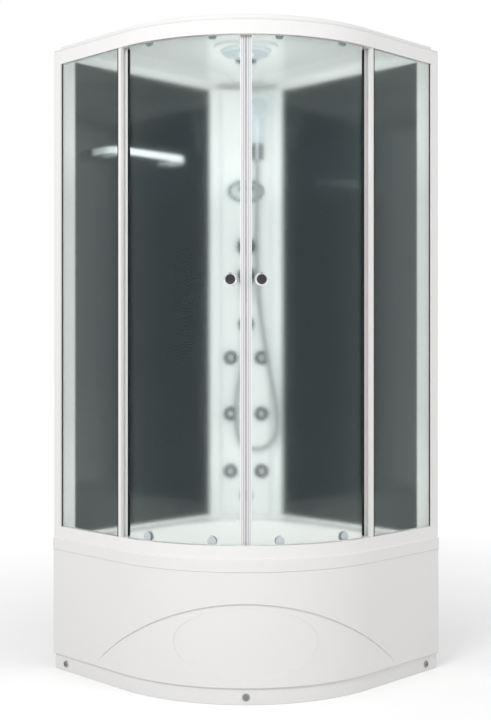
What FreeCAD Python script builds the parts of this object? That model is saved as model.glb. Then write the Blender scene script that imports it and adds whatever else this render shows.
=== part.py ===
import FreeCAD, Part
import math
import os

import Sketcher
from FreeCAD import Placement, Rotation, Vector

# Corner steam shower cabin: a deep quadrant tub, two curved sliding doors, a service column.
# Millimetres, +Z up. The cabin stands in a room corner that lies at +Y; its doors face -Y.
# The origin is on the floor, under the middle of the cabin's outer box.

# Each driving dimension is written once here and goes to the sheet under its own name.
DIMENSIONS = (
    ("wall_length", 950, "side of the tub along each wall"),
    ("front_radius", 575, "corner radius of the tub front"),
    # tub
    ("rim_top", 457, "height of the tub rim"),
    ("lip_height", 41, "depth of the rim lip"),
    ("tub_wall", 5, "thickness of the tub shell"),
    ("basin_floor", 140, "height of the basin floor"),
    ("basin_wall_inset", 110, "basin edge from each wall"),
    ("basin_front_inset", 85, "basin edge from the tub front"),
    ("basin_rear_radius", 350, "basin corner under the column"),
    ("basin_side_radius", 90, "basin corners at the wall ends"),
    ("basin_draft", 30, "how far the basin narrows to its floor"),
    ("basin_break", 250, "height where the basin walls start to flare"),
    ("basin_fillet", 40, "rounding round the basin floor"),
    ("rim_fillet", 3, "rounding of the rim's front edge"),
    ("rim_bevel", 6, "bevel round the basin"),
    ("ledge_rise", 8, "ledge that carries the wall panels, over the rim"),
    ("ledge_width", 30, "width of that ledge"),
    ("platform_depth", 196, "depth of the column's platform from the corner"),
    # apron and plinth
    ("apron_bottom", 54, "lower edge of the apron"),
    ("apron_inset", 2, "apron face behind the rim lip"),
    ("apron_wall", 4, "thickness of the apron"),
    ("apron_flange", 22, "width of the apron's bottom flange"),
    ("hook_height", 24, "apron hook behind the rim lip"),
    ("arch_apex", 317, "height of the arch relief"),
    ("arch_radius", 620, "radius of the arch line"),
    ("arch_depth", 8, "depth of the relief under the arch"),
    ("oval_half_width", 229, "half width of the oval in the relief"),
    ("oval_half_height", 112, "half height of that oval"),
    ("oval_centre", 190, "height of the oval's centre"),
    ("oval_depth", 2, "depth of the oval at its lower edge"),
    ("plinth_inset", 11, "plinth face behind the tub outline"),
    ("plinth_wall", 4, "thickness of the plinth"),
    ("plinth_flange", 20, "width of the plinth's top flange"),
    ("cap_radius", 12.2, "plinth screw caps"),
    ("cap_height", 24, "height of the cap centres"),
    ("cap_from_wall", 60, "outer caps from the wall"),
    # frame and feet
    ("bar_size", 28, "square tube of the support frame"),
    ("bar_inset", 62, "outer face of the wall bars from the wall"),
    ("mid_bar", 500, "inner bars from the wall"),
    ("bar_end_inset", 45, "bar ends from the tub outline"),
    ("foot_radius", 25, "foot pad"),
    ("foot_pad", 12, "height of the foot pad"),
    ("rod_radius", 6, "threaded rod of a foot"),
    # waste
    ("drain_depth", 560, "drain from the room corner, on the diagonal"),
    ("drain_hole", 26, "hole in the basin floor"),
    ("flange_radius", 43, "drain flange"),
    ("sleeve_radius", 25, "drain sleeve"),
    ("drain_bore", 20, "bore of the drain sleeve"),
    ("plug_radius", 30, "drain plug"),
    ("plug_stem", 5, "stem of the plug"),
    ("trap_radius", 55, "trap bowl"),
    ("trap_bottom", 60, "underside of the trap"),
    ("waste_radius", 20, "waste outlet pipe"),
    ("waste_length", 45, "free length of the waste outlet"),
    # enclosure frame
    ("frame_inset", 4, "rails and posts behind the tub outline"),
    ("rail_width", 20, "rails from front to back"),
    ("bottom_rail_height", 41, "bottom rail"),
    ("rail_wall", 3, "wall of the rail profiles"),
    ("chamber_height", 25, "hollow in the bottom rail"),
    ("groove_depth", 12, "glass groove in the bottom rail"),
    ("top_rail_height", 45, "top rail"),
    ("top_rail_top", 2144, "upper edge of the top rail"),
    ("shelf_thickness", 9, "roller track of the top rail"),
    ("top_groove_depth", 5.3, "glass groove under the roller track"),
    ("post_face", 38, "post, along the front"),
    ("post_depth", 40, "post, along the wall"),
    ("post_wall", 3.5, "wall of the post"),
    # glass
    ("glass", 5, "thickness of all glass"),
    ("glass_inset", 12, "fixed glass face behind the tub outline"),
    ("glass_play", 0.3, "gap between glass and its groove"),
    ("fixed_glass_margin", 17, "fixed glass ends before the front's bend"),
    ("edge_profile_width", 16, "profile on the fixed glass edge"),
    ("edge_profile_depth", 12, "the same, across the glass"),
    ("edge_profile_cover", 4, "profile past the glass edge"),
    # doors
    ("door_inset", 39, "door glass centre behind the tub outline"),
    ("door_gap", 6, "door glass over the rim"),
    ("door_top_gap", 10, "door glass under the top rail's upper edge"),
    ("door_start", -3.9, "trailing glass edge, degrees round the front"),
    ("door_end", 44.1, "leading glass edge, degrees round the front"),
    ("trailing_from", -4.3, "trailing profile, degrees"),
    ("trailing_to", -0.8, "trailing profile, degrees"),
    ("leading_from", 43.05, "leading profile, degrees"),
    ("leading_to", 44.66, "leading profile, degrees"),
    ("seal_to", 44.975, "magnetic seal face, degrees"),
    ("profile_depth", 13, "door profiles across the glass"),
    ("seal_depth", 9, "magnetic seal across the glass"),
    ("drip_seal", 3.5, "drip seal under the door glass"),
    ("bolt_hole", 6, "holes in the door glass"),
    ("bush", 5.7, "bush in those holes"),
    ("outer_roller", 9, "roller nearer the wall, degrees"),
    ("inner_roller", 33.5, "roller nearer the middle, degrees"),
    ("wheel_radius", 12, "door wheel"),
    ("wheel_width", 7, "door wheel"),
    ("wheel_line", 14, "wheel's inner side from the door glass"),
    ("axle_radius", 3, "wheel axle"),
    ("guide_height", 507, "bottom guides"),
    ("guide_radius", 14.5, "bottom guides"),
    ("knob_height", 1332, "door knobs"),
    ("knob_side", 46.5, "door knobs from the middle of the front"),
    ("knob_radius", 21.5, "door knobs"),
    ("knob_length", 31, "door knobs, outward"),
    # wall panels
    ("panel_gap", 12, "wall panels from the wall"),
    ("panel", 6, "thickness of the wall panels"),
    ("panel_start", 214, "wall panel edge behind the column"),
    ("panel_margin", 70, "wall panels end before the tub does"),
    ("wall_drop", 24, "wall panels under the top rail's upper edge"),
    ("trim_lap", 8, "trim over the panel edge"),
    ("trim_depth", 24, "trim from the wall"),
    # column
    ("column_face", 180, "column face from the room corner"),
    ("column_half", 146, "half width of the column"),
    ("column_wall", 4, "thickness of the column shell"),
    ("flute_centre", 114, "centre of each flute from the middle"),
    ("flute_half", 20, "half width of a flute"),
    ("flute_depth", 8, "depth of a flute"),
    ("plate_half", 89, "half width of the raised plate"),
    ("plate_rise", 3, "rise of the plate"),
    ("plate_top", 1908, "top of the plate"),
    ("plate_corner", 24, "corner radius of the plate"),
    # fittings on the column
    ("jet_side", 60, "jets from the middle"),
    ("jet_low", 635, "lowest jets"),
    ("jet_mid", 858, "middle jets"),
    ("jet_high", 1076, "highest jets"),
    ("jet_radius", 27, "jet flange"),
    ("jet_body", 19, "jet body behind the column"),
    ("drum_radius", 15, "drum of a jet nozzle"),
    ("drum_half", 9, "half length of that drum"),
    ("steam_height", 540, "steam outlet"),
    ("steam_radius", 22, "steam outlet dome"),
    ("steam_pipe", 9, "steam pipe"),
    ("outlet_height", 1207, "hose outlet"),
    ("outlet_radius", 30, "rosette of the hose outlet"),
    ("mixer_height", 1394, "mixer lever's axis"),
    ("diverter_height", 1509, "diverter knob's axis"),
    ("rosette_radius", 35, "mixer and diverter rosettes"),
    ("neck_radius", 16, "necks of the valve"),
    ("inlet_radius", 10.48, "G1/2 inlet threads"),
    ("inlet_side", 40, "inlets from the middle"),
    ("inlet_length", 14, "inlet threads"),
    ("panel_height", 1723, "control panel"),
    ("bezel_half_width", 71, "control panel bezel"),
    ("bezel_half_height", 43, "control panel bezel"),
    ("holder_side", 43, "hand shower from the middle"),
    ("holder_bottom", 1846, "lower edge of the holder"),
    ("holder_top", 1903, "upper edge of the holder"),
    ("holder_half", 24, "half width of the holder"),
    ("handset_reach", 29, "hand shower's axis from the column's plate"),
    ("handset_head", 50, "radius of the hand shower's head"),
    ("head_height", 2041, "centre of that head"),
    ("hose_radius", 7, "shower hose"),
    # shelf
    ("shelf_start", 430, "shelf from the room corner"),
    ("shelf_end", 790, "shelf from the room corner"),
    ("shelf_depth", 135, "shelf front from the wall"),
    ("shelf_height", 1800, "underside of the shelf"),
    ("shelf_glass", 6, "shelf plate"),
    ("shelf_rim", 24, "height of the shelf's rail"),
    ("shelf_corner", 55, "corner radius of the shelf"),
    # roof
    ("roof_rim_rise", 24, "upper edge of the roof's rim, over the top rail"),
    ("roof_rise", 36, "top of the roof, over the top rail"),
    ("roof_rim_inset", 32, "roof rim behind the tub outline"),
    ("roof_flange", 5, "flange on the top rail"),
    ("ceiling_rise", 16, "underside of the roof in the middle, over the top rail"),
    ("cove", 130, "sloped border of the ceiling"),
    ("spine_half", 109, "half width of the ceiling's centre piece"),
    ("spine_end", 770, "its front end from the room corner"),
    ("spine_rise", 8, "its underside, over the top rail"),
    ("rain_depth", 665, "rain head from the room corner"),
    ("rain_radius", 87, "rain head"),
    ("lens_radius", 30, "lamp lens in the rain head"),
    ("fan_depth", 520, "fan from the room corner"),
    ("fan_radius", 34, "bore of the fan duct"),
    # generator
    ("generator_length", 240, "steam generator along the wall"),
    ("generator_width", 130, "steam generator from the wall bar"),
    ("generator_bottom", 42, "underside of the generator"),
    ("generator_height", 82, "height of the generator"),
    ("steam_riser", 46, "steam pipe from both walls"),
    ("seat", 0.3, "clearance of loose neighbours"),
)

doc = FreeCAD.newDocument("steam_shower_cabin")
sheet = doc.addObject("Spreadsheet::Sheet", "sizes")


class Size:
    """A length in mm or an angle in degrees, with the sheet formula that gives it."""

    def __init__(self, value, formula):
        self.value = float(value)
        self.formula = formula

    def join(self, sign, other, value, swap=False):
        left, right = self.formula, formula_of(other)
        if swap:
            left, right = right, left
        return Size(value, "(%s %s %s)" % (left, sign, right))

    def __add__(self, other):
        return self.join("+", other, self.value + number(other))

    def __radd__(self, other):
        return self.join("+", other, number(other) + self.value, swap=True)

    def __sub__(self, other):
        return self.join("-", other, self.value - number(other))

    def __rsub__(self, other):
        return self.join("-", other, number(other) - self.value, swap=True)

    def __mul__(self, other):
        return self.join("*", other, self.value * number(other))

    def __rmul__(self, other):
        return self.join("*", other, number(other) * self.value, swap=True)

    def __truediv__(self, other):
        return self.join("/", other, self.value / number(other))

    def __neg__(self):
        return Size(-self.value, "(0 - %s)" % self.formula)


def number(size):
    return size.value if isinstance(size, Size) else float(size)


def formula_of(size):
    return size.formula if isinstance(size, Size) else "(%r)" % float(size)


def cosine(angle):
    return Size(math.cos(math.radians(number(angle))), "cos(%s)" % formula_of(angle))


def sine(angle):
    return Size(math.sin(math.radians(number(angle))), "sin(%s)" % formula_of(angle))


def root(square):
    return Size(math.sqrt(number(square)), "sqrt(%s)" % formula_of(square))


class Dimensions:
    """The sheet's cells, by name."""


dim = Dimensions()
for row, (name, value, note) in enumerate(DIMENSIONS, start=1):
    sheet.set("A%d" % row, name)
    sheet.set("B%d" % row, str(value))
    sheet.setAlias("B%d" % row, name)
    sheet.set("C%d" % row, note)
    setattr(dim, name, Size(value, "sizes." + name))
doc.recompute()

ROOT2 = math.sqrt(2)
parts = []


# Sketches and features

class Ring:
    """A full circle in a sketch."""

    def __init__(self, x, y, radius):
        self.x, self.y, self.radius = x, y, radius


class Outline:
    """Geometry, constraints and formulas of one sketch."""

    def __init__(self):
        self.geometry, self.rules, self.formulas = [], [], {}

    def tie(self, kind, place, size):
        if isinstance(size, Size):
            self.formulas[len(self.rules)] = size.formula
        self.rules.append(Sketcher.Constraint(kind, *place, number(size)))

    def ring(self, ring):
        index = len(self.geometry)
        middle = Vector(number(ring.x), number(ring.y), 0)
        self.geometry.append(Part.Circle(middle, Vector(0, 0, 1), number(ring.radius)))
        self.tie("DistanceX", (index, 3), ring.x)
        self.tie("DistanceY", (index, 3), ring.y)
        self.tie("Radius", (index,), ring.radius)

    def edge(self, start, step):
        """A line or an arc to the next corner; gives which of its ends comes first."""
        index = len(self.geometry)
        ends = [Vector(number(p[0]), number(p[1]), 0) for p in (start, step)]
        if len(step) == 2:
            self.geometry.append(Part.LineSegment(*ends))
            first = 1
        else:
            middle = Vector(number(step[2]), number(step[3]), 0)
            first = 1 if step[4] == "left" else 2
            if first == 2:
                ends.reverse()
            spokes = [end - middle for end in ends]
            angles = [math.atan2(spoke.y, spoke.x) for spoke in spokes]
            if angles[1] <= angles[0]:
                angles[1] += 2 * math.pi
            circle = Part.Circle(middle, Vector(0, 0, 1), spokes[0].Length)
            self.geometry.append(Part.ArcOfCircle(circle, *angles))
            chord = ends[1] - ends[0]
            if abs(chord.y) >= abs(chord.x):
                self.tie("DistanceX", (index, 3), step[2])
            else:
                self.tie("DistanceY", (index, 3), step[3])
        self.tie("DistanceX", (index, first), start[0])
        self.tie("DistanceY", (index, first), start[1])
        return first

    def loop(self, loop):
        """A closed line; a last arc may come back to the first corner."""
        gaps = [abs(number(a) - number(b)) for a, b in zip(loop[0][:2], loop[-1][:2])]
        if max(gaps) < 1e-9:
            loop = loop[1:]
        base = len(self.geometry)
        firsts = [self.edge(loop[k - 1], step) for k, step in enumerate(loop)]
        for k, first in enumerate(firsts):
            following = (k + 1) % len(loop)
            ends = (base + k, 3 - first, base + following, firsts[following])
            self.rules.append(Sketcher.Constraint("Coincident", *ends))


def bind(thing, path, size):
    """Sets a property and ties it to the sheet."""
    if isinstance(size, Size):
        thing.setExpression(path, size.formula)


def sketch(body, role, height, loops):
    """A sketch on one of the body's own planes, that far along the plane's normal."""
    shape = body.newObject("Sketcher::SketchObject", body.Name + "_sketch")
    plane = [item for item in body.Origin.OriginFeatures if item.Role == role][0]
    shape.AttachmentSupport = [(plane, "")]
    shape.MapMode = "FlatFace"
    shape.AttachmentOffset = Placement(Vector(0, 0, number(height)), Rotation())
    bind(shape, "AttachmentOffset.Base.z", height)
    outline = Outline()
    for loop in loops:
        outline.ring(loop) if isinstance(loop, Ring) else outline.loop(loop)
    shape.addGeometry(outline.geometry, False)
    shape.addConstraint(outline.rules)
    for index, formula in outline.formulas.items():
        shape.setExpression("Constraints[%d]" % index, formula)
    return shape


def new_body(name):
    return doc.addObject("PartDesign::Body", name)


def pad(body, role, low, high, *loops):
    """Material between two heights over a plane."""
    feature = body.newObject("PartDesign::Pad", body.Name + "_pad")
    feature.Profile = sketch(body, role, low, loops)
    feature.Length = number(high) - number(low)
    bind(feature, "Length", high - low)
    return feature


def pocket(body, role, low, high, *loops):
    """Material taken away between two heights over a plane."""
    feature = body.newObject("PartDesign::Pocket", body.Name + "_pocket")
    feature.Profile = sketch(body, role, high, loops)
    feature.Length = number(high) - number(low)
    bind(feature, "Length", high - low)
    return feature


def revolve(body, *loops):
    """A turned piece about the body's own Z axis; loops give radius and height."""
    feature = body.newObject("PartDesign::Revolution", body.Name + "_turning")
    profile = sketch(body, "XZ_Plane", 0, loops)
    feature.Profile = profile
    feature.ReferenceAxis = (profile, ["V_Axis"])
    feature.Angle = 360
    return feature


def loft(body, kind, low, low_loop, high, high_loop):
    """A ruled body between two outlines; kind is Additive or Subtractive."""
    first = sketch(body, "XY_Plane", low, [low_loop])
    second = sketch(body, "XY_Plane", high, [high_loop])
    feature = body.newObject("PartDesign::%sLoft" % kind, body.Name + "_loft")
    feature.Profile = first
    feature.Sections = [second]
    feature.Ruled = True
    return feature


def fillet(body, radius, test):
    """Rounds the edges of the last feature whose box passes the test."""
    doc.recompute()
    base = body.Tip
    names = ["Edge%d" % (k + 1) for k, edge in enumerate(base.Shape.Edges) if test(edge)]
    feature = body.newObject("PartDesign::Fillet", body.Name + "_fillet")
    feature.Base = (base, names)
    feature.Radius = number(radius)
    bind(feature, "Radius", radius)
    return feature


def level(size):
    """Test for edges that lie wholly at one height."""
    height = number(size)

    def test(edge):
        box = edge.BoundBox
        return abs(box.ZMin - height) < 0.01 and abs(box.ZMax - height) < 0.01
    return test


def front_edge(size):
    """The same, without the edges against the walls."""
    at_height = level(size)

    def test(edge):
        box = edge.BoundBox
        return at_height(edge) and box.XMax > 1 and box.YMax > 1
    return test


# Places

half_depth = ((dim.wall_length - dim.front_radius) * ROOT2 + dim.front_radius) / 2
bend_centre = dim.wall_length - dim.front_radius
front_centre = bend_centre * ROOT2
fixed_glass_end = bend_centre - dim.fixed_glass_margin
panel_end = dim.wall_length - dim.panel_margin
handset_depth = dim.column_face + dim.plate_rise + dim.handset_reach
lip_low = dim.rim_top - dim.lip_height
ledge_high = dim.rim_top + dim.ledge_rise
door_low = dim.rim_top + dim.door_gap
top_rail_low = dim.top_rail_top - dim.top_rail_height
door_high = dim.top_rail_top - dim.door_top_gap
wall_high = dim.top_rail_top - dim.wall_drop
roof_rim_high = dim.top_rail_top + dim.roof_rim_rise
roof_high = dim.top_rail_top + dim.roof_rise
ceiling_high = dim.top_rail_top + dim.ceiling_rise
spine_low = dim.top_rail_top + dim.spine_rise


def put(thing, x, y, z, turn=Rotation()):
    """Places a piece in the cabin's frame, with its position tied to the sheet."""
    thing.Placement = Placement(Vector(number(x), number(y), number(z)), turn)
    bind(thing, "Placement.Base.x", x)
    bind(thing, "Placement.Base.y", y)
    bind(thing, "Placement.Base.z", z)
    return thing


def in_corner(thing):
    """Piece drawn from the room corner, its left wall along X and its right wall along Y."""
    return put(thing, 0, half_depth, 0, Rotation(Vector(0, 0, 1), -135))


def on_axis(thing):
    """Piece drawn from the room corner, with the cabin's front towards -Y."""
    return put(thing, 0, half_depth, 0)


def facing_front(thing, side, depth, height, tilt=0):
    """Turned piece on the column: its own Z points out of the column's face."""
    turn = Rotation(Vector(1, 0, 0), 90 + tilt)
    return put(thing, side, half_depth - depth, height, turn)


def facing_out(thing, radius, angle, height):
    """Turned piece on the curved front; angle is in degrees from the straight left part."""
    swing = 45 - angle
    turn = Rotation(Vector(0, 0, 1), -number(swing)) * Rotation(Vector(1, 0, 0), 90)
    x = 0 - radius * sine(swing)
    y = half_depth - front_centre - radius * cosine(swing)
    return put(thing, x, y, height, turn)


# Outlines drawn from the room corner

def front_band(outer, inner, start=0):
    """Strip along the tub front between two insets, from one wall end to the other."""
    far, near = dim.wall_length - outer, dim.wall_length - inner
    mid = bend_centre
    return [(far, start), (far, mid), (mid, far, mid, mid, "left"), (start, far),
            (start, near), (mid, near), (near, mid, mid, mid, "right"), (near, start)]


def full_outline(front, walls):
    """The whole plan, that far in from the front and from the walls."""
    far, mid = dim.wall_length - front, bend_centre
    return [(walls, walls), (far, walls), (far, mid), (mid, far, mid, mid, "left"),
            (walls, far)]


def basin_outline(shrink):
    """The basin's plan: a large round corner at the back, smaller ones at the sides."""
    low = dim.basin_wall_inset + shrink
    far = dim.wall_length - dim.basin_front_inset - shrink
    rear = dim.basin_wall_inset + dim.basin_rear_radius
    side = dim.wall_length - dim.basin_front_inset - dim.basin_side_radius
    near = dim.basin_wall_inset + dim.basin_side_radius
    mid = bend_centre
    return [(rear, low), (side, low), (far, near, side, near, "left"), (far, mid),
            (mid, far, mid, mid, "left"), (near, far), (low, side, near, side, "left"),
            (low, rear), (rear, low, rear, rear, "left")]


def wall_band(outer, inner, end):
    """L-shaped strip along both walls."""
    return [(outer, outer), (end, outer), (end, inner), (inner, inner), (inner, end),
            (outer, end)]


def rectangle(x_low, y_low, x_high, y_high):
    return [(x_low, y_low), (x_high, y_low), (x_high, y_high), (x_low, y_high)]


def rounded(x_low, y_low, x_high, y_high, radius):
    """Rectangle with round corners."""
    left, right = x_low + radius, x_high - radius
    low, high = y_low + radius, y_high - radius
    return [(left, y_low), (right, y_low), (x_high, low, right, low, "left"),
            (x_high, high), (right, y_high, right, high, "left"), (left, y_high),
            (x_low, high, left, high, "left"), (x_low, low),
            (left, y_low, left, low, "left")]


def polar(radius, angle):
    """Point of the curved front, from its bend centre."""
    return (bend_centre + radius * cosine(angle), bend_centre + radius * sine(angle))


def sector(inner, outer, start, end):
    """Part of a ring round the bend centre."""
    mid = bend_centre
    return [polar(inner, start), polar(outer, start),
            polar(outer, end) + (mid, mid, "left"), polar(inner, end),
            polar(inner, start) + (mid, mid, "right")]


# Pieces made of others

def keep(thing, name):
    """Marks a finished sub-part; the name is its node and its file."""
    thing.Label = name
    parts.append(thing)
    return thing


def group(name, items):
    compound = doc.addObject("Part::Compound", name + "_group")
    compound.Links = items
    return compound


def single(item, name):
    """One copy as a node of its own."""
    return group(name, [item])


def fused(name, items):
    fuse = doc.addObject("Part::MultiFuse", name + "_fuse")
    fuse.Shapes = items
    return fuse


def cut_from(name, base, tool):
    cut = doc.addObject("Part::Cut", name + "_cut")
    cut.Base = base
    cut.Tool = tool
    return cut


def common(name, first, second):
    both = doc.addObject("Part::MultiCommon", name + "_common")
    both.Shapes = [first, second]
    return both


def mirrored(thing, name):
    """The right-hand copy of a left-hand piece."""
    if thing.TypeId == "App::Link":
        thing = single(thing, name + "_left")
    mirror = doc.addObject("Part::Mirroring", name + "_mirror")
    mirror.Source = thing
    mirror.Normal = Vector(1, 0, 0)
    return mirror


def pair(left, name):
    """Left and right copies in one node."""
    return group(name, [left, mirrored(left, name)])


def copy_of(thing, name):
    link = doc.addObject("App::Link", name + "_copy")
    link.LinkedObject = thing
    return link


def cylinder(name, radius, height):
    piece = doc.addObject("Part::Cylinder", name)
    piece.Radius, piece.Height = number(radius), number(height)
    bind(piece, "Radius", radius)
    bind(piece, "Height", height)
    return piece


def block(name, length, width, height):
    piece = doc.addObject("Part::Box", name)
    piece.Length, piece.Width, piece.Height = number(length), number(width), number(height)
    bind(piece, "Length", length)
    bind(piece, "Width", width)
    bind(piece, "Height", height)
    return piece


def tube_path(points, radii):
    """Straight runs joined by tangent arcs of the given radii."""
    edges, start = [], points[0]
    for k, radius in enumerate(radii, start=1):
        here = points[k]
        back = (points[k - 1] - here).normalize()
        onward = (points[k + 1] - here).normalize()
        half = back.getAngle(onward) / 2
        reach = radius / math.tan(half)
        enter, leave = here + back * reach, here + onward * reach
        to_centre = (back + onward).normalize()
        centre = here + to_centre * (radius / math.sin(half))
        edges.append(Part.LineSegment(start, enter).toShape())
        edges.append(Part.Arc(enter, centre - to_centre * radius, leave).toShape())
        start = leave
    edges.append(Part.LineSegment(start, points[-1]).toShape())
    return Part.Wire(edges)


def tube_along(name, wire, radius, mitred=False):
    """Round bar swept along a wire; mitred where the wire has corners."""
    start = wire.Vertexes[0].Point
    direction = wire.Edges[0].tangentAt(wire.Edges[0].FirstParameter)
    ring = Part.Wire(Part.makeCircle(radius, start, direction))
    piece = doc.addObject("Part::Feature", name)
    piece.Shape = wire.makePipeShell([ring], True, False, 1 if mitred else 0)
    return piece


# Tub, apron and plinth

def basin_body(name, grow, low, high, rounded_floor):
    """The basin's space, or the shell round it: upright below, flared above."""
    body = in_corner(new_body(name))
    narrow = basin_outline(dim.basin_draft - grow)
    pad(body, "XY_Plane", low, dim.basin_break, narrow)
    if rounded_floor:
        fillet(body, dim.basin_fillet, level(low))
    loft(body, "Additive", dim.basin_break, narrow, high, basin_outline(0 - grow))
    return body


def make_tub():
    body = in_corner(new_body("tub"))
    wall, rim = dim.tub_wall, dim.rim_top
    deck = rim - wall
    under = dim.basin_floor - wall
    pad(body, "XY_Plane", lip_low, rim, full_outline(0, 0))
    fillet(body, dim.rim_fillet, front_edge(rim))
    pocket(body, "XY_Plane", lip_low, deck, full_outline(wall, wall))
    run = dim.platform_depth * ROOT2 - dim.ledge_width
    end = dim.wall_length - dim.frame_inset - dim.post_depth
    width = dim.ledge_width
    ledge = [(0, 0), (end, 0), (end, width), (run, width), (width, run), (width, end), (0, end)]
    pad(body, "XY_Plane", rim, ledge_high, ledge)
    riser = dim.steam_riser
    pocket(body, "XY_Plane", deck, ledge_high, Ring(riser, riser, dim.steam_pipe + 2))
    space = basin_body("basin_space", 0, dim.basin_floor, rim, True)
    edge = dim.rim_bevel
    loft(space, "Additive", rim - edge, basin_outline(1), rim + 1, basin_outline(0 - edge))
    drain = put(cylinder("drain_hole", dim.drain_hole, 20), 0, half_depth - dim.drain_depth, under - 5)
    shell = fused("tub", [body, basin_body("basin_shell", wall, under, deck + 1, False)])
    keep(cut_from("tub", shell, group("tub_tools", [space, drain])), "tub_shell")


def sloped_band(name, low, low_inset, high, high_inset, outer):
    """Band along the front whose inner face leans from one inset to another."""
    body = in_corner(new_body(name))
    loft(body, "Additive", low, front_band(outer, low_inset), high, front_band(outer, high_inset))
    return body


def arch_prism(name, grow):
    """The space under the arch line, drawn on the front and run back."""
    body = on_axis(new_body(name))
    radius = dim.arch_radius + grow
    centre = dim.arch_apex - dim.arch_radius
    foot = dim.apron_bottom + dim.apron_wall
    drop = foot - centre
    half = root(radius * radius - drop * drop)
    outline = [(-half, foot), (half, foot), (-half, foot, 0, centre, "left")]
    pad(body, "XZ_Plane", front_centre, half_depth * 2 + 20, outline)
    return body


def make_apron():
    wall, face, low = dim.apron_wall, dim.apron_inset, dim.apron_bottom
    back, lip = face + wall, dim.tub_wall + 1.5
    body = in_corner(new_body("apron_wall"))
    pad(body, "XY_Plane", low, lip_low, front_band(face, back))
    pad(body, "XY_Plane", low, low + wall, front_band(face, face + dim.apron_flange))
    pad(body, "XY_Plane", lip_low - wall, lip_low, front_band(face, lip + wall))
    pad(body, "XY_Plane", lip_low - wall, lip_low + dim.hook_height,
        front_band(lip, lip + wall, dim.tub_wall + dim.seat))
    foot = low + wall
    top = dim.arch_apex + 10
    deep = face + dim.arch_depth
    backing = common("apron_backing", arch_prism("arch_outer", wall + 2),
                     sloped_band("apron_lining", foot, back + 1, top, deep + wall, face + 2))
    relief = common("apron_relief", arch_prism("arch_inner", 0),
                    sloped_band("apron_slope", foot, face, top, deep, -10))
    oval = doc.addObject("Part::Ellipse", "oval_line")
    bind(oval, "MajorRadius", dim.oval_half_width)
    bind(oval, "MinorRadius", dim.oval_half_height)
    put(oval, 0, half_depth - front_centre, dim.oval_centre, Rotation(Vector(1, 0, 0), 90))
    oval_bar = doc.addObject("Part::Extrusion", "oval_bar")
    oval_bar.Base = oval
    oval_bar.DirMode = "Custom"
    oval_bar.Dir = Vector(0, -1, 0)
    oval_bar.Solid = True
    bind(oval_bar, "LengthFwd", dim.front_radius + 20)
    dish = common("apron_dish", oval_bar,
                  sloped_band("dish_slope", foot, face + dim.oval_depth, top, deep, -10))
    shell = fused("apron_shell", [body, backing])
    keep(cut_from("apron", shell, fused("apron_tools", [relief, dish])), "apron_panel")


def make_plinth():
    face, wall, top = dim.plinth_inset, dim.plinth_wall, dim.apron_bottom
    body = in_corner(new_body("plinth"))
    pad(body, "XY_Plane", 0, top, front_band(face, face + wall))
    pad(body, "XY_Plane", top - wall, top, front_band(face, face + dim.plinth_flange))
    cap = new_body("plinth_cap")
    flat, stem, dome = dim.cap_radius, 3.8, 4
    revolve(cap, [(0, -10), (stem, -10), (stem, 0), (flat, 0), (flat, 1.5),
                  (flat - 4, dome), (0, dome)])
    hole = cylinder("cap_hole", stem + 0.2, 16)
    radius = dim.front_radius - face
    middle, side, side_hole = cap, copy_of(cap, "side_cap"), copy_of(hole, "side_hole")
    facing_out(middle, radius + 0.2, 45, dim.cap_height)
    straight = dim.wall_length - face
    turn = Rotation(Vector(0, 0, 1), -45) * Rotation(Vector(1, 0, 0), 90)

    def on_side(thing, reach):
        x = 0 - (reach - dim.cap_from_wall) / ROOT2
        y = half_depth - (reach + dim.cap_from_wall) / ROOT2
        return put(thing, x, y, dim.cap_height, turn)

    on_side(side, straight)
    on_side(side_hole, straight - 8)
    facing_out(hole, radius - 8, 45, dim.cap_height)
    holes = group("cap_holes", [hole, side_hole, mirrored(side_hole, "cap_hole")])
    keep(cut_from("plinth", body, holes), "plinth_strip")
    keep(group("caps", [middle, side, mirrored(side, "side_cap")]), "plinth_caps")


# Support frame, feet and waste

def make_support():
    body = in_corner(new_body("support"))
    size, low = dim.bar_size, dim.bar_inset
    top = dim.basin_floor - dim.tub_wall
    end = dim.wall_length - dim.bar_end_inset
    mid = dim.mid_bar
    for start in (low, mid):
        pad(body, "XY_Plane", top - size, top, rectangle(low, start, end, start + size))
        pad(body, "XY_Plane", top - size, top, rectangle(start, low, start + size, end))
    rim = dim.rim_top - dim.tub_wall
    corners = [(low, low), (end - size, low), (low, end - size), (end - size, mid),
               (mid, end - size)]
    for x, y in corners:
        pad(body, "XY_Plane", top - size, rim, rectangle(x, y, x + size, y + size))
    keep(body, "support_frame")

    foot = new_body("foot")
    under = top - size
    pad_radius, rod = dim.foot_radius, dim.rod_radius
    revolve(foot, [(0, 0), (pad_radius, 0), (pad_radius, dim.foot_pad),
                   (rod, dim.foot_pad), (rod, under), (0, under)])
    nut = 10
    slant, flat = nut / 2, nut * math.sqrt(3) / 2
    hexagon = [(nut, 0), (slant, flat), (-slant, flat), (-nut, 0), (-slant, -flat), (slant, -flat)]
    pad(foot, "XY_Plane", under - 10, under, hexagon)
    feet = []
    for k, (x, y) in enumerate(corners):
        item = foot if k == 0 else copy_of(foot, "foot_%d" % k)
        x_mid, y_mid = x + size / 2, y + size / 2
        put(item, (y_mid - x_mid) / ROOT2, half_depth - (x_mid + y_mid) / ROOT2, 0)
        feet.append(item)
    keep(group("feet", feet), "levelling_feet")


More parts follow.
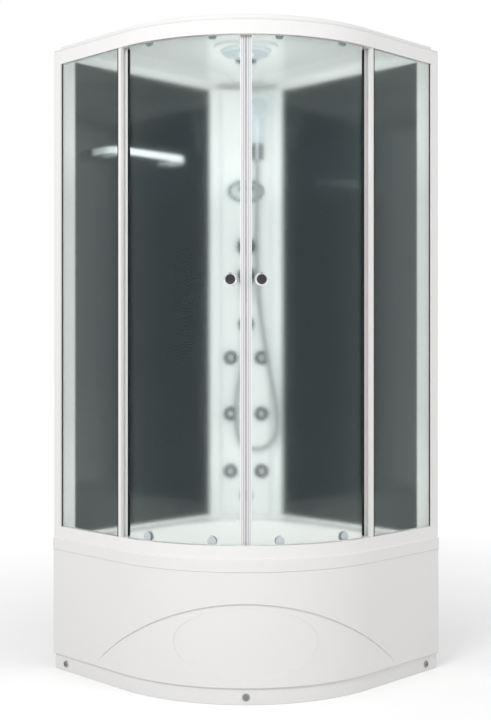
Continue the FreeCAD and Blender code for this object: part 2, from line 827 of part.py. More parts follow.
def make_waste():
    depth, floor = dim.drain_depth, dim.basin_floor
    flange = put(new_body("flange"), 0, half_depth - depth, floor)
    sleeve, bore = dim.sleeve_radius, dim.drain_bore
    revolve(flange, [(bore, -22), (sleeve, -22), (sleeve, 0), (dim.flange_radius, 0),
                     (dim.flange_radius, 3), (bore, 3)])
    hub, spoke = dim.plug_stem + 0.06, 3
    pad(flange, "XY_Plane", -20, -12, Ring(0, 0, hub + 3), Ring(0, 0, hub))
    reach = bore + 1
    for low, high in ((hub + 1, reach), (-reach, -hub - 1)):
        pad(flange, "XY_Plane", -20, -12, rectangle(low, -spoke / 2, high, spoke / 2))
        pad(flange, "XY_Plane", -20, -12, rectangle(-spoke / 2, low, spoke / 2, high))
    keep(flange, "drain_flange")

    plug = put(new_body("plug"), 0, half_depth - depth, floor + 3 + dim.seat)
    stem, wide = dim.plug_stem, dim.plug_radius
    revolve(plug, [(0, -30), (stem, -30), (stem, 0), (wide, 0), (wide, 3),
                   (wide - 8, 7), (0, 7)])
    keep(plug, "drain_plug")

    under = floor - dim.tub_wall
    trap = put(new_body("trap"), 0, half_depth - depth, 0)
    bowl, low, wall = dim.trap_radius, dim.trap_bottom, 3
    socket = sleeve + dim.seat
    lid = under - 20
    revolve(trap, [(0, low), (bowl, low), (bowl, lid), (sleeve + 9, lid), (sleeve + 9, under),
                   (socket, under), (socket, lid - wall), (bowl - wall, lid - wall),
                   (bowl - wall, low + wall), (0, low + wall)])
    level_of_pipe = low + dim.waste_radius + 12
    collar = 6
    pieces = []
    for name, radius, start, end in (
            ("pipe", dim.waste_radius, bowl - 8, bowl + collar + dim.waste_length),
            ("collar", dim.waste_radius + 2.5, bowl - 8, bowl + collar),
            ("bore", dim.waste_radius - 2, bowl - 20, bowl + collar + dim.waste_length + 1)):
        bar = cylinder("waste_" + name, radius, end - start)
        pieces.append(put(bar, 0, half_depth - depth + start, level_of_pipe,
                          Rotation(Vector(1, 0, 0), -90)))
    keep(cut_from("trap", fused("trap_body", [trap] + pieces[:2]), pieces[2]), "drain_trap")


# Rails, posts, fixed glass and wall panels

def groove_loops():
    """The fixed glass grooves, on the left straight part and on the right one."""
    play, start = dim.glass_play, dim.post_face
    outer = dim.wall_length - dim.glass_inset + play
    inner = outer - dim.glass - 2 * play
    end = fixed_glass_end + 4
    return (rectangle(inner, start, outer, end), rectangle(start, inner, end, outer))


def make_rails():
    outer, inner = dim.frame_inset, dim.frame_inset + dim.rail_width
    wall, start = dim.rail_wall, dim.post_face
    low, high = dim.rim_top, dim.rim_top + dim.bottom_rail_height
    rail = in_corner(new_body("low_rail"))
    pad(rail, "XY_Plane", low, high, front_band(outer, inner, start))
    pocket(rail, "XY_Plane", low, low + dim.chamber_height,
           front_band(outer + wall, inner - wall, start))
    pocket(rail, "XY_Plane", high - dim.groove_depth, high, *groove_loops())
    keep(rail, "bottom_rail")

    rail = in_corner(new_body("high_rail"))
    low, high = top_rail_low, dim.top_rail_top
    pad(rail, "XY_Plane", low, high, front_band(outer, outer + wall, start))
    pad(rail, "XY_Plane", low, low + dim.shelf_thickness, front_band(outer, inner, start))
    pad(rail, "XY_Plane", high - wall, high, front_band(outer, inner, start))
    pocket(rail, "XY_Plane", low, low + dim.top_groove_depth, *groove_loops())
    keep(rail, "top_rail")


def make_posts():
    body = in_corner(new_body("post"))
    out = dim.wall_length - dim.frame_inset
    back, face, wall = out - dim.post_depth, dim.post_face, dim.post_wall
    glass_out = dim.wall_length - dim.glass_inset + dim.glass_play
    glass_in = glass_out - dim.glass - 2 * dim.glass_play
    section = [(back, 0), (out, 0), (out, face), (glass_out, face), (glass_out, face - wall),
               (out - wall, face - wall), (out - wall, wall), (back + wall, wall),
               (back + wall, face - wall), (glass_in, face - wall), (glass_in, face),
               (back, face)]
    pad(body, "XY_Plane", dim.rim_top, dim.top_rail_top, section)
    keep(pair(body, "post"), "wall_posts")


def make_fixed_glass():
    play = dim.glass_play
    low = dim.rim_top + dim.bottom_rail_height - dim.groove_depth + play
    high = top_rail_low + dim.top_groove_depth - play
    out = dim.wall_length - dim.glass_inset
    start = dim.post_face - 10
    pane = in_corner(new_body("pane"))
    pad(pane, "XY_Plane", low, high, rectangle(out - dim.glass, start, out, fixed_glass_end))
    keep(pane, "left_fixed_glass")
    keep(mirrored(pane, "pane"), "right_fixed_glass")

    strip = in_corner(new_body("edge_strip"))
    middle = out - dim.glass / 2
    half, slot = dim.edge_profile_depth / 2, dim.glass / 2 + 0.1
    end = fixed_glass_end + dim.edge_profile_cover
    first = end - dim.edge_profile_width
    section = [(middle + slot, first), (middle + half, first), (middle + half, first + 6),
               (middle + half - 1, first + 7), (middle + half - 1, first + 8),
               (middle + half, first + 9), (middle + half, end), (middle - half, end),
               (middle - half, first), (middle - slot, first),
               (middle - slot, fixed_glass_end + 0.1),
               (middle + slot, fixed_glass_end + 0.1)]
    rail = dim.rim_top + dim.bottom_rail_height
    pad(strip, "XY_Plane", rail + dim.seat, top_rail_low - dim.seat, section)
    keep(pair(strip, "edge_strip"), "fixed_glass_profiles")


def make_walls():
    front = dim.panel_gap + dim.panel
    panel = in_corner(new_body("panel"))
    pad(panel, "XY_Plane", ledge_high, wall_high,
        rectangle(dim.panel_start, dim.panel_gap, panel_end, front))
    keep(panel, "left_back_panel")
    keep(mirrored(panel, "panel"), "right_back_panel")

    trim = in_corner(new_body("trim"))
    start, end = panel_end - dim.trim_lap, dim.wall_length - dim.frame_inset - dim.post_depth
    play, deep, skin = 0.2, dim.trim_depth, 3
    slot = panel_end + play
    section = [(start, 0), (end, 0), (end, deep), (start, deep), (start, front + play),
               (slot, front + play), (slot, dim.panel_gap - play), (start, dim.panel_gap - play)]
    hollow = rectangle(slot + skin, skin, end - skin, deep - skin)
    pad(trim, "XY_Plane", ledge_high, wall_high, section, hollow)
    keep(pair(trim, "trim"), "wall_trims")


# Doors

glass_line = dim.front_radius - dim.door_inset
glass_out = glass_line + dim.glass / 2
glass_in = glass_line - dim.glass / 2
knob_angle = Size(45 - math.degrees(math.asin(number(dim.knob_side) / number(glass_line))),
                  "(45 - asin(%s) / 1deg)" % (dim.knob_side / glass_line).formula)
wheel_height = top_rail_low + dim.shelf_thickness + dim.wheel_radius + dim.seat


def make_door_glass():
    pane = in_corner(new_body("door_pane"))
    pad(pane, "XY_Plane", door_low, door_high,
        sector(glass_in, glass_out, dim.door_start, dim.door_end))
    holes = []
    places = [(dim.outer_roller, wheel_height), (dim.inner_roller, wheel_height),
              (dim.outer_roller, dim.guide_height), (dim.inner_roller, dim.guide_height),
              (knob_angle, dim.knob_height)]
    for k, (angle, height) in enumerate(places):
        hole = cylinder("door_hole_%d" % k, dim.bolt_hole, dim.glass + 20)
        holes.append(facing_out(hole, glass_in - 10, angle, height))
    cut = cut_from("door_pane", pane, group("door_holes", holes))
    keep(cut, "left_door_glass")
    keep(mirrored(cut, "door_pane"), "right_door_glass")


def make_door_profiles():
    body = in_corner(new_body("door_strips"))
    half, play = dim.profile_depth / 2, 0.15
    inner, outer = glass_line - half, glass_line + half
    slot_in, slot_out = glass_in - play, glass_out + play
    low, high = door_low, door_high
    pad(body, "XY_Plane", low, high, sector(inner, outer, dim.leading_from, dim.leading_to))
    pad(body, "XY_Plane", low, high, sector(inner, outer, dim.trailing_from, dim.trailing_to))
    edge = 0.02
    pocket(body, "XY_Plane", low, high,
           sector(slot_in, slot_out, dim.leading_from - 1, dim.door_end + edge),
           sector(slot_in, slot_out, dim.door_start - edge, dim.trailing_to + 1))
    line, deep = 0.14, 1.4
    marks = (dim.leading_from + 0.55, dim.leading_from + 1.05, dim.trailing_to - 0.9,
             dim.trailing_to - 1.8)
    pocket(body, "XY_Plane", low, high,
           *[sector(outer - deep, outer + 1, mark, mark + line) for mark in marks])
    keep(body, "left_door_profiles")
    keep(mirrored(body, "door_strips"), "right_door_profiles")


def make_door_seals():
    body = in_corner(new_body("seals"))
    half = dim.seal_depth / 2
    low, high = door_low, door_high
    pad(body, "XY_Plane", low, high,
        sector(glass_line - half, glass_line + half, dim.leading_to, dim.seal_to))
    pad(body, "XY_Plane", low - dim.drip_seal, low,
        sector(glass_in, glass_out, dim.door_start, dim.door_end))
    keep(body, "left_door_seals")
    keep(mirrored(body, "seals"), "right_door_seals")


def make_knobs():
    knob = new_body("knob")
    bush, wide, long = dim.bush, dim.knob_radius, dim.knob_length
    back = 0 - dim.glass - dim.seat
    inner = back - 16
    neck = 9
    revolve(knob, [(0, inner - 3), (wide - 5, inner - 3), (wide - 5, inner + 8), (neck, inner + 8),
                   (neck, back), (bush, back), (bush, dim.seat), (neck, dim.seat),
                   (neck, long - 12), (wide, long - 12), (wide, long - 4), (wide - 4, long),
                   (0, long)])
    facing_out(knob, glass_out, knob_angle, dim.knob_height)
    keep(knob, "left_door_knob")
    keep(mirrored(knob, "knob"), "right_door_knob")


def make_rollers():
    hanger = new_body("hanger")
    back = 0 - dim.glass - dim.seat
    axle, line, width = dim.axle_radius, dim.wheel_line, dim.wheel_width
    far = line + width
    revolve(hanger, [(0, back - 2), (dim.bush, back - 2), (dim.bush, dim.seat), (8, dim.seat),
                     (8, line - 0.3), (axle, line - 0.3), (axle, far + 0.3),
                     (5, far + 0.3), (5, far + 1.3), (0, far + 1.3)])
    pad(hanger, "XY_Plane", back - 9, back, rounded(-12, -27, 12, 13, 8))
    guide = new_body("guide")
    wide, nib = dim.guide_radius, 3.5
    revolve(guide, [(0, back - 8), (wide, back - 8), (wide, back), (dim.bush, back),
                    (dim.bush, dim.seat), (wide, dim.seat), (wide, 5), (0, 5)])
    pad(guide, "XY_Plane", 0.5, 4, rectangle(-nib, wide - 2, nib, wide + 4))
    facing_out(hanger, glass_out, dim.outer_roller, wheel_height)
    facing_out(guide, glass_out, dim.outer_roller, dim.guide_height)
    second_hanger = copy_of(hanger, "hanger")
    second_guide = copy_of(guide, "guide")
    facing_out(second_hanger, glass_out, dim.inner_roller, wheel_height)
    facing_out(second_guide, glass_out, dim.inner_roller, dim.guide_height)
    rollers = group("rollers", [hanger, second_hanger, guide, second_guide])
    keep(rollers, "left_door_rollers")
    keep(mirrored(rollers, "rollers"), "right_door_rollers")
    for place, angle in (("outer", dim.outer_roller), ("inner", dim.inner_roller)):
        wheel = new_body(place + "_wheel")
        rim, bore = dim.wheel_radius, axle + 0.06
        revolve(wheel, [(bore, 0), (rim, 0), (rim, width), (bore, width)])
        facing_out(wheel, glass_out + line, angle, wheel_height)
        keep(wheel, "left_%s_wheel" % place)
        keep(mirrored(wheel, place + "_wheel"), "right_%s_wheel" % place)


# Column and its fittings

face = dim.column_face
plate = face + dim.plate_rise
jet_heights = (dim.jet_low, dim.jet_mid, dim.jet_high)


def column_line(thick):
    """Half-way round the column's section, at a depth under its face, left to right."""
    half = dim.column_half
    lap = dim.panel_gap + dim.panel
    radius = (dim.flute_half * dim.flute_half + dim.flute_depth * dim.flute_depth) / (
        2 * dim.flute_depth)
    arc_centre = face - dim.flute_depth + radius
    deep = face - thick
    chord = root((radius + thick) * (radius + thick) - (arc_centre - deep) * (arc_centre - deep))
    outer, inner = dim.flute_centre + chord, dim.flute_centre - chord
    edge = half - thick
    corner = edge - 6
    root_depth = edge + lap * ROOT2
    return [(-edge, -root_depth), (-corner, -deep), (-outer, -deep),
            (-inner, -deep, -dim.flute_centre, -arc_centre, "right"),
            (inner, -deep), (outer, -deep, dim.flute_centre, -arc_centre, "right"),
            (corner, -deep), (edge, -root_depth)]


def backward(line):
    """The same line in the other direction."""
    result = [line[-1][:2]]
    for k in range(len(line) - 1, 0, -1):
        step = line[k]
        if len(step) == 2:
            result.append(line[k - 1][:2])
        else:
            turn = "right" if step[4] == "left" else "left"
            result.append(line[k - 1][:2] + step[2:4] + (turn,))
    return result


def make_column():
    body = on_axis(new_body("column"))
    low, high = ledge_high, wall_high
    section = column_line(0) + backward(column_line(dim.column_wall))
    pad(body, "XY_Plane", low, high, section)
    half, bottom = dim.plate_half, low + 8
    pad(body, "XZ_Plane", face, plate, rounded(-half, bottom, half, dim.plate_top, dim.plate_corner))
    back = face - dim.column_wall
    holes = [Ring(side, height, dim.jet_body + 0.5) for height in jet_heights
             for side in (dim.jet_side, -dim.jet_side)]
    holes += [Ring(0, dim.steam_height, dim.steam_pipe + 2), Ring(0, dim.outlet_height, 12)]
    holes += [Ring(0, height, dim.neck_radius + 1) for height in
              (dim.mixer_height, dim.diverter_height)]
    holes.append(rounded(-48, dim.panel_height - 24, 48, dim.panel_height + 24, 4))
    pocket(body, "XZ_Plane", back - 1, plate, *holes)
    keep(body, "column_shell")


def make_jets():
    flange, body_radius, drum = dim.jet_radius, dim.jet_body, dim.drum_radius
    half, sink, bore = dim.drum_half, 2, 4
    play = 0.1
    jet = new_body("jet")
    revolve(jet, [(bore, -50), (7, -50), (7, -34), (body_radius, -34), (body_radius, 0),
                  (flange, 0), (flange, 5), (0, 5), (0, -20), (bore, -20)])
    pocket(jet, "YZ_Plane", -half - play, half + play, Ring(0, -sink, drum + play))
    nozzle = new_body("nozzle")
    pad(nozzle, "YZ_Plane", -half, half, Ring(0, 0, drum))
    pad(nozzle, "XY_Plane", 0, drum + 3, Ring(0, 0, 6))
    pocket(nozzle, "XY_Plane", 0, drum + 3, Ring(0, 0, 2.5))
    bodies = []
    for row, height in zip(("low", "mid", "high"), jet_heights):
        for hand, side in (("left", -dim.jet_side), ("right", dim.jet_side)):
            name = "jet_nozzle_%s_%s" % (row, hand)
            first = not bodies
            item = jet if first else copy_of(jet, name + "_body")
            insert = nozzle if first else copy_of(nozzle, name)
            bodies.append(facing_front(item, side, plate, height))
            facing_front(insert, side, plate - sink, height)
            keep(single(insert, name), name)
    keep(group("jets", bodies), "jet_bodies")


def make_valve():
    half, low, high = dim.inlet_side + 12, dim.mixer_height - 19, dim.diverter_height + 21
    block_back, block_front = 85, face - dim.column_wall - 26
    body = on_axis(new_body("valve"))
    pad(body, "XZ_Plane", block_back, block_front,
        rounded(-half, low, half, high, 14))
    necks = [Ring(0, dim.mixer_height, dim.neck_radius), Ring(0, dim.diverter_height, dim.neck_radius)]
    pad(body, "XZ_Plane", block_front, plate + 30, *necks)
    spindle, grip = 5, 10
    spindles = [Ring(0, dim.mixer_height, spindle), Ring(0, dim.diverter_height, spindle)]
    pad(body, "XZ_Plane", plate + 30, plate + 30 + grip, *spindles)
    inlets = [Ring(side, -(block_back + 16), dim.inlet_radius)
              for side in (-dim.inlet_side, dim.inlet_side)]
    pad(body, "XY_Plane", low - dim.inlet_length, low, *inlets)
    rosettes = []
    for name, height in (("mixer", dim.mixer_height), ("diverter", dim.diverter_height)):
        ring = new_body(name + "_rosette")
        wide, bore = dim.rosette_radius, dim.neck_radius + 0.2
        revolve(ring, [(bore, 0), (wide, 0), (wide, 7), (bore, 7)])
        rosettes.append(facing_front(ring, 0, plate, height))
    keep(group("valve_set", [body] + rosettes), "mixer_body")

    cap_start = plate + 30 + dim.seat
    cap = new_body("lever_cap")
    bore, deep = spindle + 0.06, grip + 0.5
    revolve(cap, [(bore, 0), (22, 0), (22, 17), (17, 22), (0, 22), (0, deep), (bore, deep)])
    pad(cap, "XY_Plane", 6, 16, [(-9, -12), (-7, -98), (7, -98, 0, -98, "left"), (9, -12)])
    facing_front(cap, 0, cap_start, dim.mixer_height)
    keep(cap, "mixer_lever")

    knob = new_body("diverter_cap")
    revolve(knob, [(bore, 0), (26, 0), (26, 22), (0, 22), (0, deep), (bore, deep)])
    pad(knob, "XY_Plane", 18, 30, rounded(-5, -21, 5, 21, 4.9))
    facing_front(knob, 0, cap_start, dim.diverter_height)
    keep(knob, "diverter_knob")


def make_outlet():
    drop, forward = 17, 29
    rosette = new_body("outlet_rosette")
    wide = dim.outlet_radius
    revolve(rosette, [(0, -24), (10, -24), (10, 0), (wide, 0), (wide, 7), (10, 7),
                      (10, forward + 10), (0, forward + 10)])
    facing_front(rosette, 0, plate, dim.outlet_height)
    tip = new_body("outlet_tip")
    revolve(tip, [(0, -drop - 6), (9.5, -drop - 6), (9.5, 0), (0, 0)])
    put(tip, 0, half_depth - plate - forward, dim.outlet_height)
    keep(fused("outlet", [rosette, tip]), "hose_outlet")


def make_steam_outlet():
    dome = new_body("steam_dome")
    wide, pipe = dim.steam_radius, dim.steam_pipe
    revolve(dome, [(0, -30), (pipe, -30), (pipe, 0), (wide, 0), (wide, 12), (wide - 8, 20),
                   (0, 20)])
    slots = doc.addObject("Part::Box", "steam_slot")
    slots.Length, slots.Width, slots.Height = 26, 4, 9
    facing_front(dome, 0, plate, dim.steam_height)
    put(slots, -13, half_depth - plate - 24, dim.steam_height - 8)
    riser = number(dim.steam_riser)
    start = number(plate) - 28
    low = number(dim.generator_bottom) + 40
    wall_bar = number(dim.bar_inset + dim.bar_size)
    across = wall_bar + 100

    def corner(x, y, z):
        return Vector((y - x) / ROOT2, number(half_depth) - (x + y) / ROOT2, z)

    high = number(dim.steam_height)
    points = [Vector(0, number(half_depth) - start, high), corner(riser, riser, high),
              corner(riser, riser, low), corner(across, riser, low),
              corner(across, wall_bar, low)]
    pipe_piece = tube_along("steam_pipe", Part.makePolygon(points), number(pipe), mitred=True)
    keep(cut_from("steam", fused("steam_set", [dome, pipe_piece]), slots), "steam_outlet")


def make_generator():
    body = in_corner(new_body("generator"))
    start = dim.bar_inset + dim.bar_size
    low, high = dim.generator_bottom, dim.generator_bottom + dim.generator_height
    pad(body, "XY_Plane", low, high,
        rounded(start, start, start + dim.generator_length, start + dim.generator_width,
                12))
    lid = 3
    pad(body, "XY_Plane", high, high + lid,
        rounded(start + 8, start + 8, start + dim.generator_length - 8,
                start + dim.generator_width - 8, 8))
    side = start + dim.generator_width
    pad(body, "XZ_Plane", -side - 14, -side, Ring(start + 40, low + 30, 8), Ring(start + 90, low + 30, 8))
    keep(body, "steam_generator")


def make_manifold():
    back, duct = 95, 18
    y = half_depth - back
    valve_low, valve_high = dim.mixer_height - 19, dim.diverter_height + 21
    start = dim.jet_low - 35
    pieces = []

    def bar(name, side, low, width, height):
        item = block(name, width, duct, height)
        return put(item, side, y - duct / 2, low)

    pieces.append(bar("riser", -duct / 2, start, duct, valve_low - start))
    pieces.append(bar("roof_riser", -duct / 2, valve_high, duct, wall_high - 10 - valve_high))
    reach = plate - 50 - back
    end = dim.jet_side + 9
    for row, height in zip(("low", "mid", "high"), jet_heights):
        pieces.append(bar("cross_" + row, 0 - end, height - 8, end * 2, 16))
        for hand, side in (("left", -dim.jet_side), ("right", dim.jet_side)):
            branch = cylinder("branch_%s_%s" % (row, hand), 6.4, reach)
            pieces.append(put(branch, side, y, height, Rotation(Vector(1, 0, 0), 90)))
    supply = cylinder("outlet_branch", 8, plate - 24 - back)
    pieces.append(put(supply, 0, y, dim.outlet_height, Rotation(Vector(1, 0, 0), 90)))
    keep(fused("manifold", pieces), "pipe_manifold")


def oval(name, half_width, half_height, height):
    """Oval disc on its own XY plane."""
    line = doc.addObject("Part::Ellipse", name + "_line")
    bind(line, "MajorRadius", half_width)
    bind(line, "MinorRadius", half_height)
    disc = doc.addObject("Part::Extrusion", name)
    disc.Base = line
    disc.DirMode = "Custom"
    disc.Dir = Vector(0, 0, 1)
    disc.Solid = True
    disc.LengthFwd = height
    return disc


def make_control_panel():
    wide, tall = dim.bezel_half_width, dim.bezel_half_height
    rim, clearance = 8, 0.2
    ring = cut_from("bezel", oval("bezel_disc", wide, tall, 7),
                    oval("bezel_hole", wide - rim, tall - rim, 7))
    facing_front(ring, 0, plate, dim.panel_height)
    keep(ring, "control_bezel")
    inset = rim + clearance
    cover = oval("control_disc", wide - inset, tall - inset, 4)
    box = block("control_box", 92, 44, 24)
    put(box, -46, -22, -24)
    unit = fused("control", [cover, box])
    facing_front(unit, 0, plate, dim.panel_height)
    keep(unit, "control_face")


def make_hand_shower():
    side, depth = dim.holder_side, handset_depth
    low, high, half = dim.holder_bottom, dim.holder_top, dim.holder_half
    clamp = put(new_body("clamp"), side, half_depth - depth, 0)
    back = depth - plate
    front = 15
    pad(clamp, "XY_Plane", low, high,
        [(-half, back), (-half, back - 6), (-front - 3, 0), (front + 3, 0, 0, 0, "left"),
         (half, back - 6), (half, back)])
    hold = 11.2
    pocket(clamp, "XY_Plane", low, high, Ring(0, 0, hold))
    pocket(clamp, "XY_Plane", low, high, rectangle(-7, -front - 8, 7, 0))
    keep(clamp, "handset_holder")

    handle = put(new_body("handle"), side, half_depth - depth, 0)
    nut, grip = 9.5, 14
    revolve(handle, [(0, low), (nut, low), (nut, low + 20), (10.9, low + 20), (10.9, high + 1),
                     (grip - 1, high + 1), (grip + 2, dim.head_height - 12),
                     (0, dim.head_height - 12)])
    head = new_body("head")
    wide = dim.handset_head
    revolve(head, [(0, -16), (22, -14), (wide, -1), (wide, 9), (0, 9)])
    facing_front(head, side, depth + 18, dim.head_height, tilt=-12)
    keep(fused("handset", [handle, head]), "handset")


# The hose's route: side, depth from the room corner, height; chosen by hand.
HOSE_ROUTE = (
    (0, 212, 1184), (0, 212, 1095), (-38, 209, 935), (-38, 206, 769), (9, 206, 722),
    (74, 206, 722), (121, 206, 769), (121, 208, 880), (72, 208, 1120), (40, 210, 1400),
    (43, 212, 1740), (43, 212, 1846),
)


def make_hose():
    points = [Vector(x, number(half_depth) - depth, z) for x, depth, z in HOSE_ROUTE]
    radii = []
    for before, here, after in zip(points, points[1:], points[2:]):
        turn = math.pi - (before - here).getAngle(after - here)
        shorter = min((here - before).Length, (after - here).Length)
        radii.append(0.45 * shorter / math.tan(turn / 2))
    wire = tube_path(points, radii)
    radius = number(dim.hose_radius)
    hose = tube_along("hose", wire, radius)
    print("hose: length %.0f, radii %s" % (wire.Length, [round(r) for r in radii]))
    print("hose: volume ratio %.4f" % (hose.Shape.Volume / (math.pi * radius ** 2 * wire.Length)))
    keep(hose, "shower_hose")


# Shelf and roof

def shelf_outline(shrink):
    wall = dim.panel_gap + dim.panel + dim.seat
    start, end = dim.shelf_start + shrink, dim.shelf_end - shrink
    front, corner = dim.shelf_depth - shrink, dim.shelf_corner
    near, far, middle = dim.shelf_start + corner, dim.shelf_end - corner, dim.shelf_depth - corner
    return [(start, wall), (end, wall), (end, middle), (far, front, far, middle, "left"),
            (near, front), (start, middle, near, middle, "left")]


def make_shelf():
    low, thick = dim.shelf_height, dim.shelf_glass
    wall = dim.panel_gap + dim.panel
    plate_body = in_corner(new_body("shelf_plate"))
    band, start, end = 3, dim.shelf_start, dim.shelf_end
    pad(plate_body, "XY_Plane", low + 4, low + 4 + thick, shelf_outline(band + 0.2))
    keep(plate_body, "shelf_glass")
    rail = in_corner(new_body("shelf_band"))
    pad(rail, "XY_Plane", low, low + dim.shelf_rim, shelf_outline(0))
    pocket(rail, "XY_Plane", low, low + dim.shelf_rim, shelf_outline(band))
    for x in (start + 40, end - 60):
        pad(rail, "XY_Plane", low, low + 4, rectangle(x, wall + dim.seat, x + 16, dim.shelf_depth - 1))
    keep(rail, "shelf_rail")


def make_roof():
    body = in_corner(new_body("roof"))
    low, wall = dim.top_rail_top, 2
    flange, rim = low + dim.roof_flange, dim.roof_rim_inset
    pad(body, "XY_Plane", low, flange, full_outline(dim.frame_inset, wall))
    pad(body, "XY_Plane", flange, roof_rim_high, full_outline(rim, wall))
    loft(body, "Additive", roof_rim_high, full_outline(rim, wall),
         roof_high, full_outline(rim + 70, wall + 50))
    end = dim.wall_length - dim.frame_inset - dim.post_depth
    skirt = dim.trim_depth
    pad(body, "XY_Plane", wall_high, low, wall_band(wall, skirt, end))
    inner = dim.frame_inset + dim.rail_width + 16
    loft(body, "Subtractive", low, full_outline(inner, skirt),
         ceiling_high, full_outline(inner + 60, dim.cove))

    spine = on_axis(new_body("spine"))
    half, start = dim.spine_half, dim.cove * ROOT2 - 20
    low_spine = spine_low
    radius = dim.spine_half * 0.6
    front, side = dim.spine_end, half - radius
    turn = front - radius
    pad(spine, "XY_Plane", low_spine, ceiling_high + 2,
        [(-half, -turn), (-side, -front, -side, -turn, "left"), (side, -front),
         (half, -turn, side, -turn, "left"), (half * 0.55, -start), (-half * 0.55, -start)])
    shell = fused("roof_set", [body, spine])
    fan_hole = cylinder("fan_hole", dim.fan_radius + 2.5, 60)
    put(fan_hole, 0, half_depth - dim.fan_depth, low_spine - 10)
    rain_hole = cylinder("rain_hole", 9, 24)
    put(rain_hole, 0, half_depth - dim.rain_depth, low_spine - 6)
    keep(cut_from("roof", shell, group("roof_holes", [fan_hole, rain_hole])), "roof_shell")


def make_rain_head():
    low = spine_low
    head = put(new_body("rain_head"), 0, half_depth - dim.rain_depth, low)
    wide, lens = dim.rain_radius, dim.lens_radius
    revolve(head, [(0, 0), (8.6, 0), (8.6, 14), (0, 14)])
    doc.recompute()
    revolve(head, [(0, 0), (0, -8), (lens + 0.3, -8), (lens + 0.3, -12), (wide - 5, -12),
                   (wide, -7), (wide, 0)])
    keep(head, "rain_shower_head")
    cover = put(new_body("lens"), 0, half_depth - dim.rain_depth, low - 8)
    revolve(cover, [(0, 0), (lens, 0), (lens, -6), (0, -6)])
    keep(cover, "lamp_lens")


def make_fan():
    low, high = spine_low, roof_high - 4
    y = half_depth - dim.fan_depth
    bore, wall = dim.fan_radius, 2
    duct = put(new_body("duct"), 0, y, 0)
    revolve(duct, [(bore, low), (bore, low - 3), (bore + 5, low - 3), (bore + 5, low),
                   (bore + wall, low), (bore + wall, high), (bore, high)])
    pad(duct, "XY_Plane", low - 3, low - 1, Ring(0, 0, bore * 0.6), Ring(0, 0, bore * 0.6 - 1.5))
    reach, hub, shaft = bore + 1, 9, 1.5
    for height, thick in ((low - 3, 2), (high - 3, 3)):
        pad(duct, "XY_Plane", height, height + thick, rectangle(-reach, -1.5, reach, 1.5))
        pad(duct, "XY_Plane", height, height + thick, rectangle(-1.5, -reach, 1.5, reach))
    pad(duct, "XY_Plane", high - 9, high, Ring(0, 0, hub))
    pad(duct, "XY_Plane", low + 3, high - 9, Ring(0, 0, shaft))
    keep(duct, "fan_housing")

    rotor = put(new_body("rotor"), 0, y, 0)
    bottom, top = low + 2, high - 9 - dim.seat
    pad(rotor, "XY_Plane", bottom, top, Ring(0, 0, 8), Ring(0, 0, shaft + 0.06))
    blade = pad(rotor, "XY_Plane", bottom + 1, top - 2,
                [(6, 0), (bore - 3, 5), (bore - 4, 8), (6, 2.5)])
    doc.recompute()
    pattern = rotor.newObject("PartDesign::PolarPattern", "blades")
    pattern.Originals = [blade]
    axis = [item for item in rotor.Origin.OriginFeatures if item.Role == "Z_Axis"][0]
    pattern.Axis = (axis, [""])
    pattern.Angle = 360
    pattern.Occurrences = 7
    rotor.Tip = pattern
    keep(rotor, "fan_rotor")


make_tub()
make_apron()
make_plinth()
make_support()
make_waste()
make_rails()
make_posts()
make_fixed_glass()
make_walls()
make_door_glass()
make_door_profiles()
make_door_seals()
make_knobs()
make_rollers()
make_column()
make_jets()
make_valve()
make_outlet()
make_steam_outlet()
make_generator()
make_manifold()
make_control_panel()
make_hand_shower()
make_hose()
make_shelf()
make_roof()
make_rain_head()
make_fan()
doc.recompute()

for item in doc.Objects:
    if "Invalid" in item.State or "Error" in item.State:
        raise RuntimeError("%s could not be built: %s" % (item.Name, item.State))
    if item.TypeId == "PartDesign::Pocket":
        if item.Shape.Volume >= item.BaseFeature.Shape.Volume - 1e-6:
            raise RuntimeError("%s cuts nothing" % item.Name)
for item in parts:
    if item.Shape.isNull() or not item.Shape.isValid() or not item.Shape.Solids:
        raise RuntimeError("%s has no valid shape" % item.Label)

os.makedirs("parts", exist_ok=True)
for item in parts:
    item.Shape.exportStep("parts/%s.step" % item.Label)
print("%d sub-parts written" % len(parts))
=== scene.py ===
"""Looks of a corner steam shower cabin: white tub and profiles, satin glass, dark walls."""

import math

import bmesh
import bpy
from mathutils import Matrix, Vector


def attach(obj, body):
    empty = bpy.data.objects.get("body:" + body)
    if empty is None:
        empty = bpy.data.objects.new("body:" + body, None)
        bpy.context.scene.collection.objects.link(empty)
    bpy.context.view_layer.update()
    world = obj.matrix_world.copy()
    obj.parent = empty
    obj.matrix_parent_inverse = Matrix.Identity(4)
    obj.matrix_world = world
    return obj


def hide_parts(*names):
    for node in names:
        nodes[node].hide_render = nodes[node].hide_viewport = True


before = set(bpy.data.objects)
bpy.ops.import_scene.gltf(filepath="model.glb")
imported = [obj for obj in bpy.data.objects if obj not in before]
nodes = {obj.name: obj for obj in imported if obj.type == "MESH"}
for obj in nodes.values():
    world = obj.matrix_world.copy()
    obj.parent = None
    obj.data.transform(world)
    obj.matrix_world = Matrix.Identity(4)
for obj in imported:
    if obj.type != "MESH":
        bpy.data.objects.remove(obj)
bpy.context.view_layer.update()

# ---------------------------------------------------------------- the cabin's plan, metres

WALL = 0.950                      # tub side along each wall
FRONT_RADIUS = 0.575              # round front of the tub
BEND = WALL - FRONT_RADIUS        # bend centre from both walls
ROOT2 = math.sqrt(2)
CORNER_Y = (BEND * ROOT2 + FRONT_RADIUS) / 2    # the room corner
BEND_Y = CORNER_Y - BEND * ROOT2                # the front's bend centre

RAIL_TOP = 0.498                  # glass opening, from the bottom rail
TOP_RAIL_LOW = 2.099              # to the top rail
MM = 1000
SIDES = (("left", -1), ("right", 1))


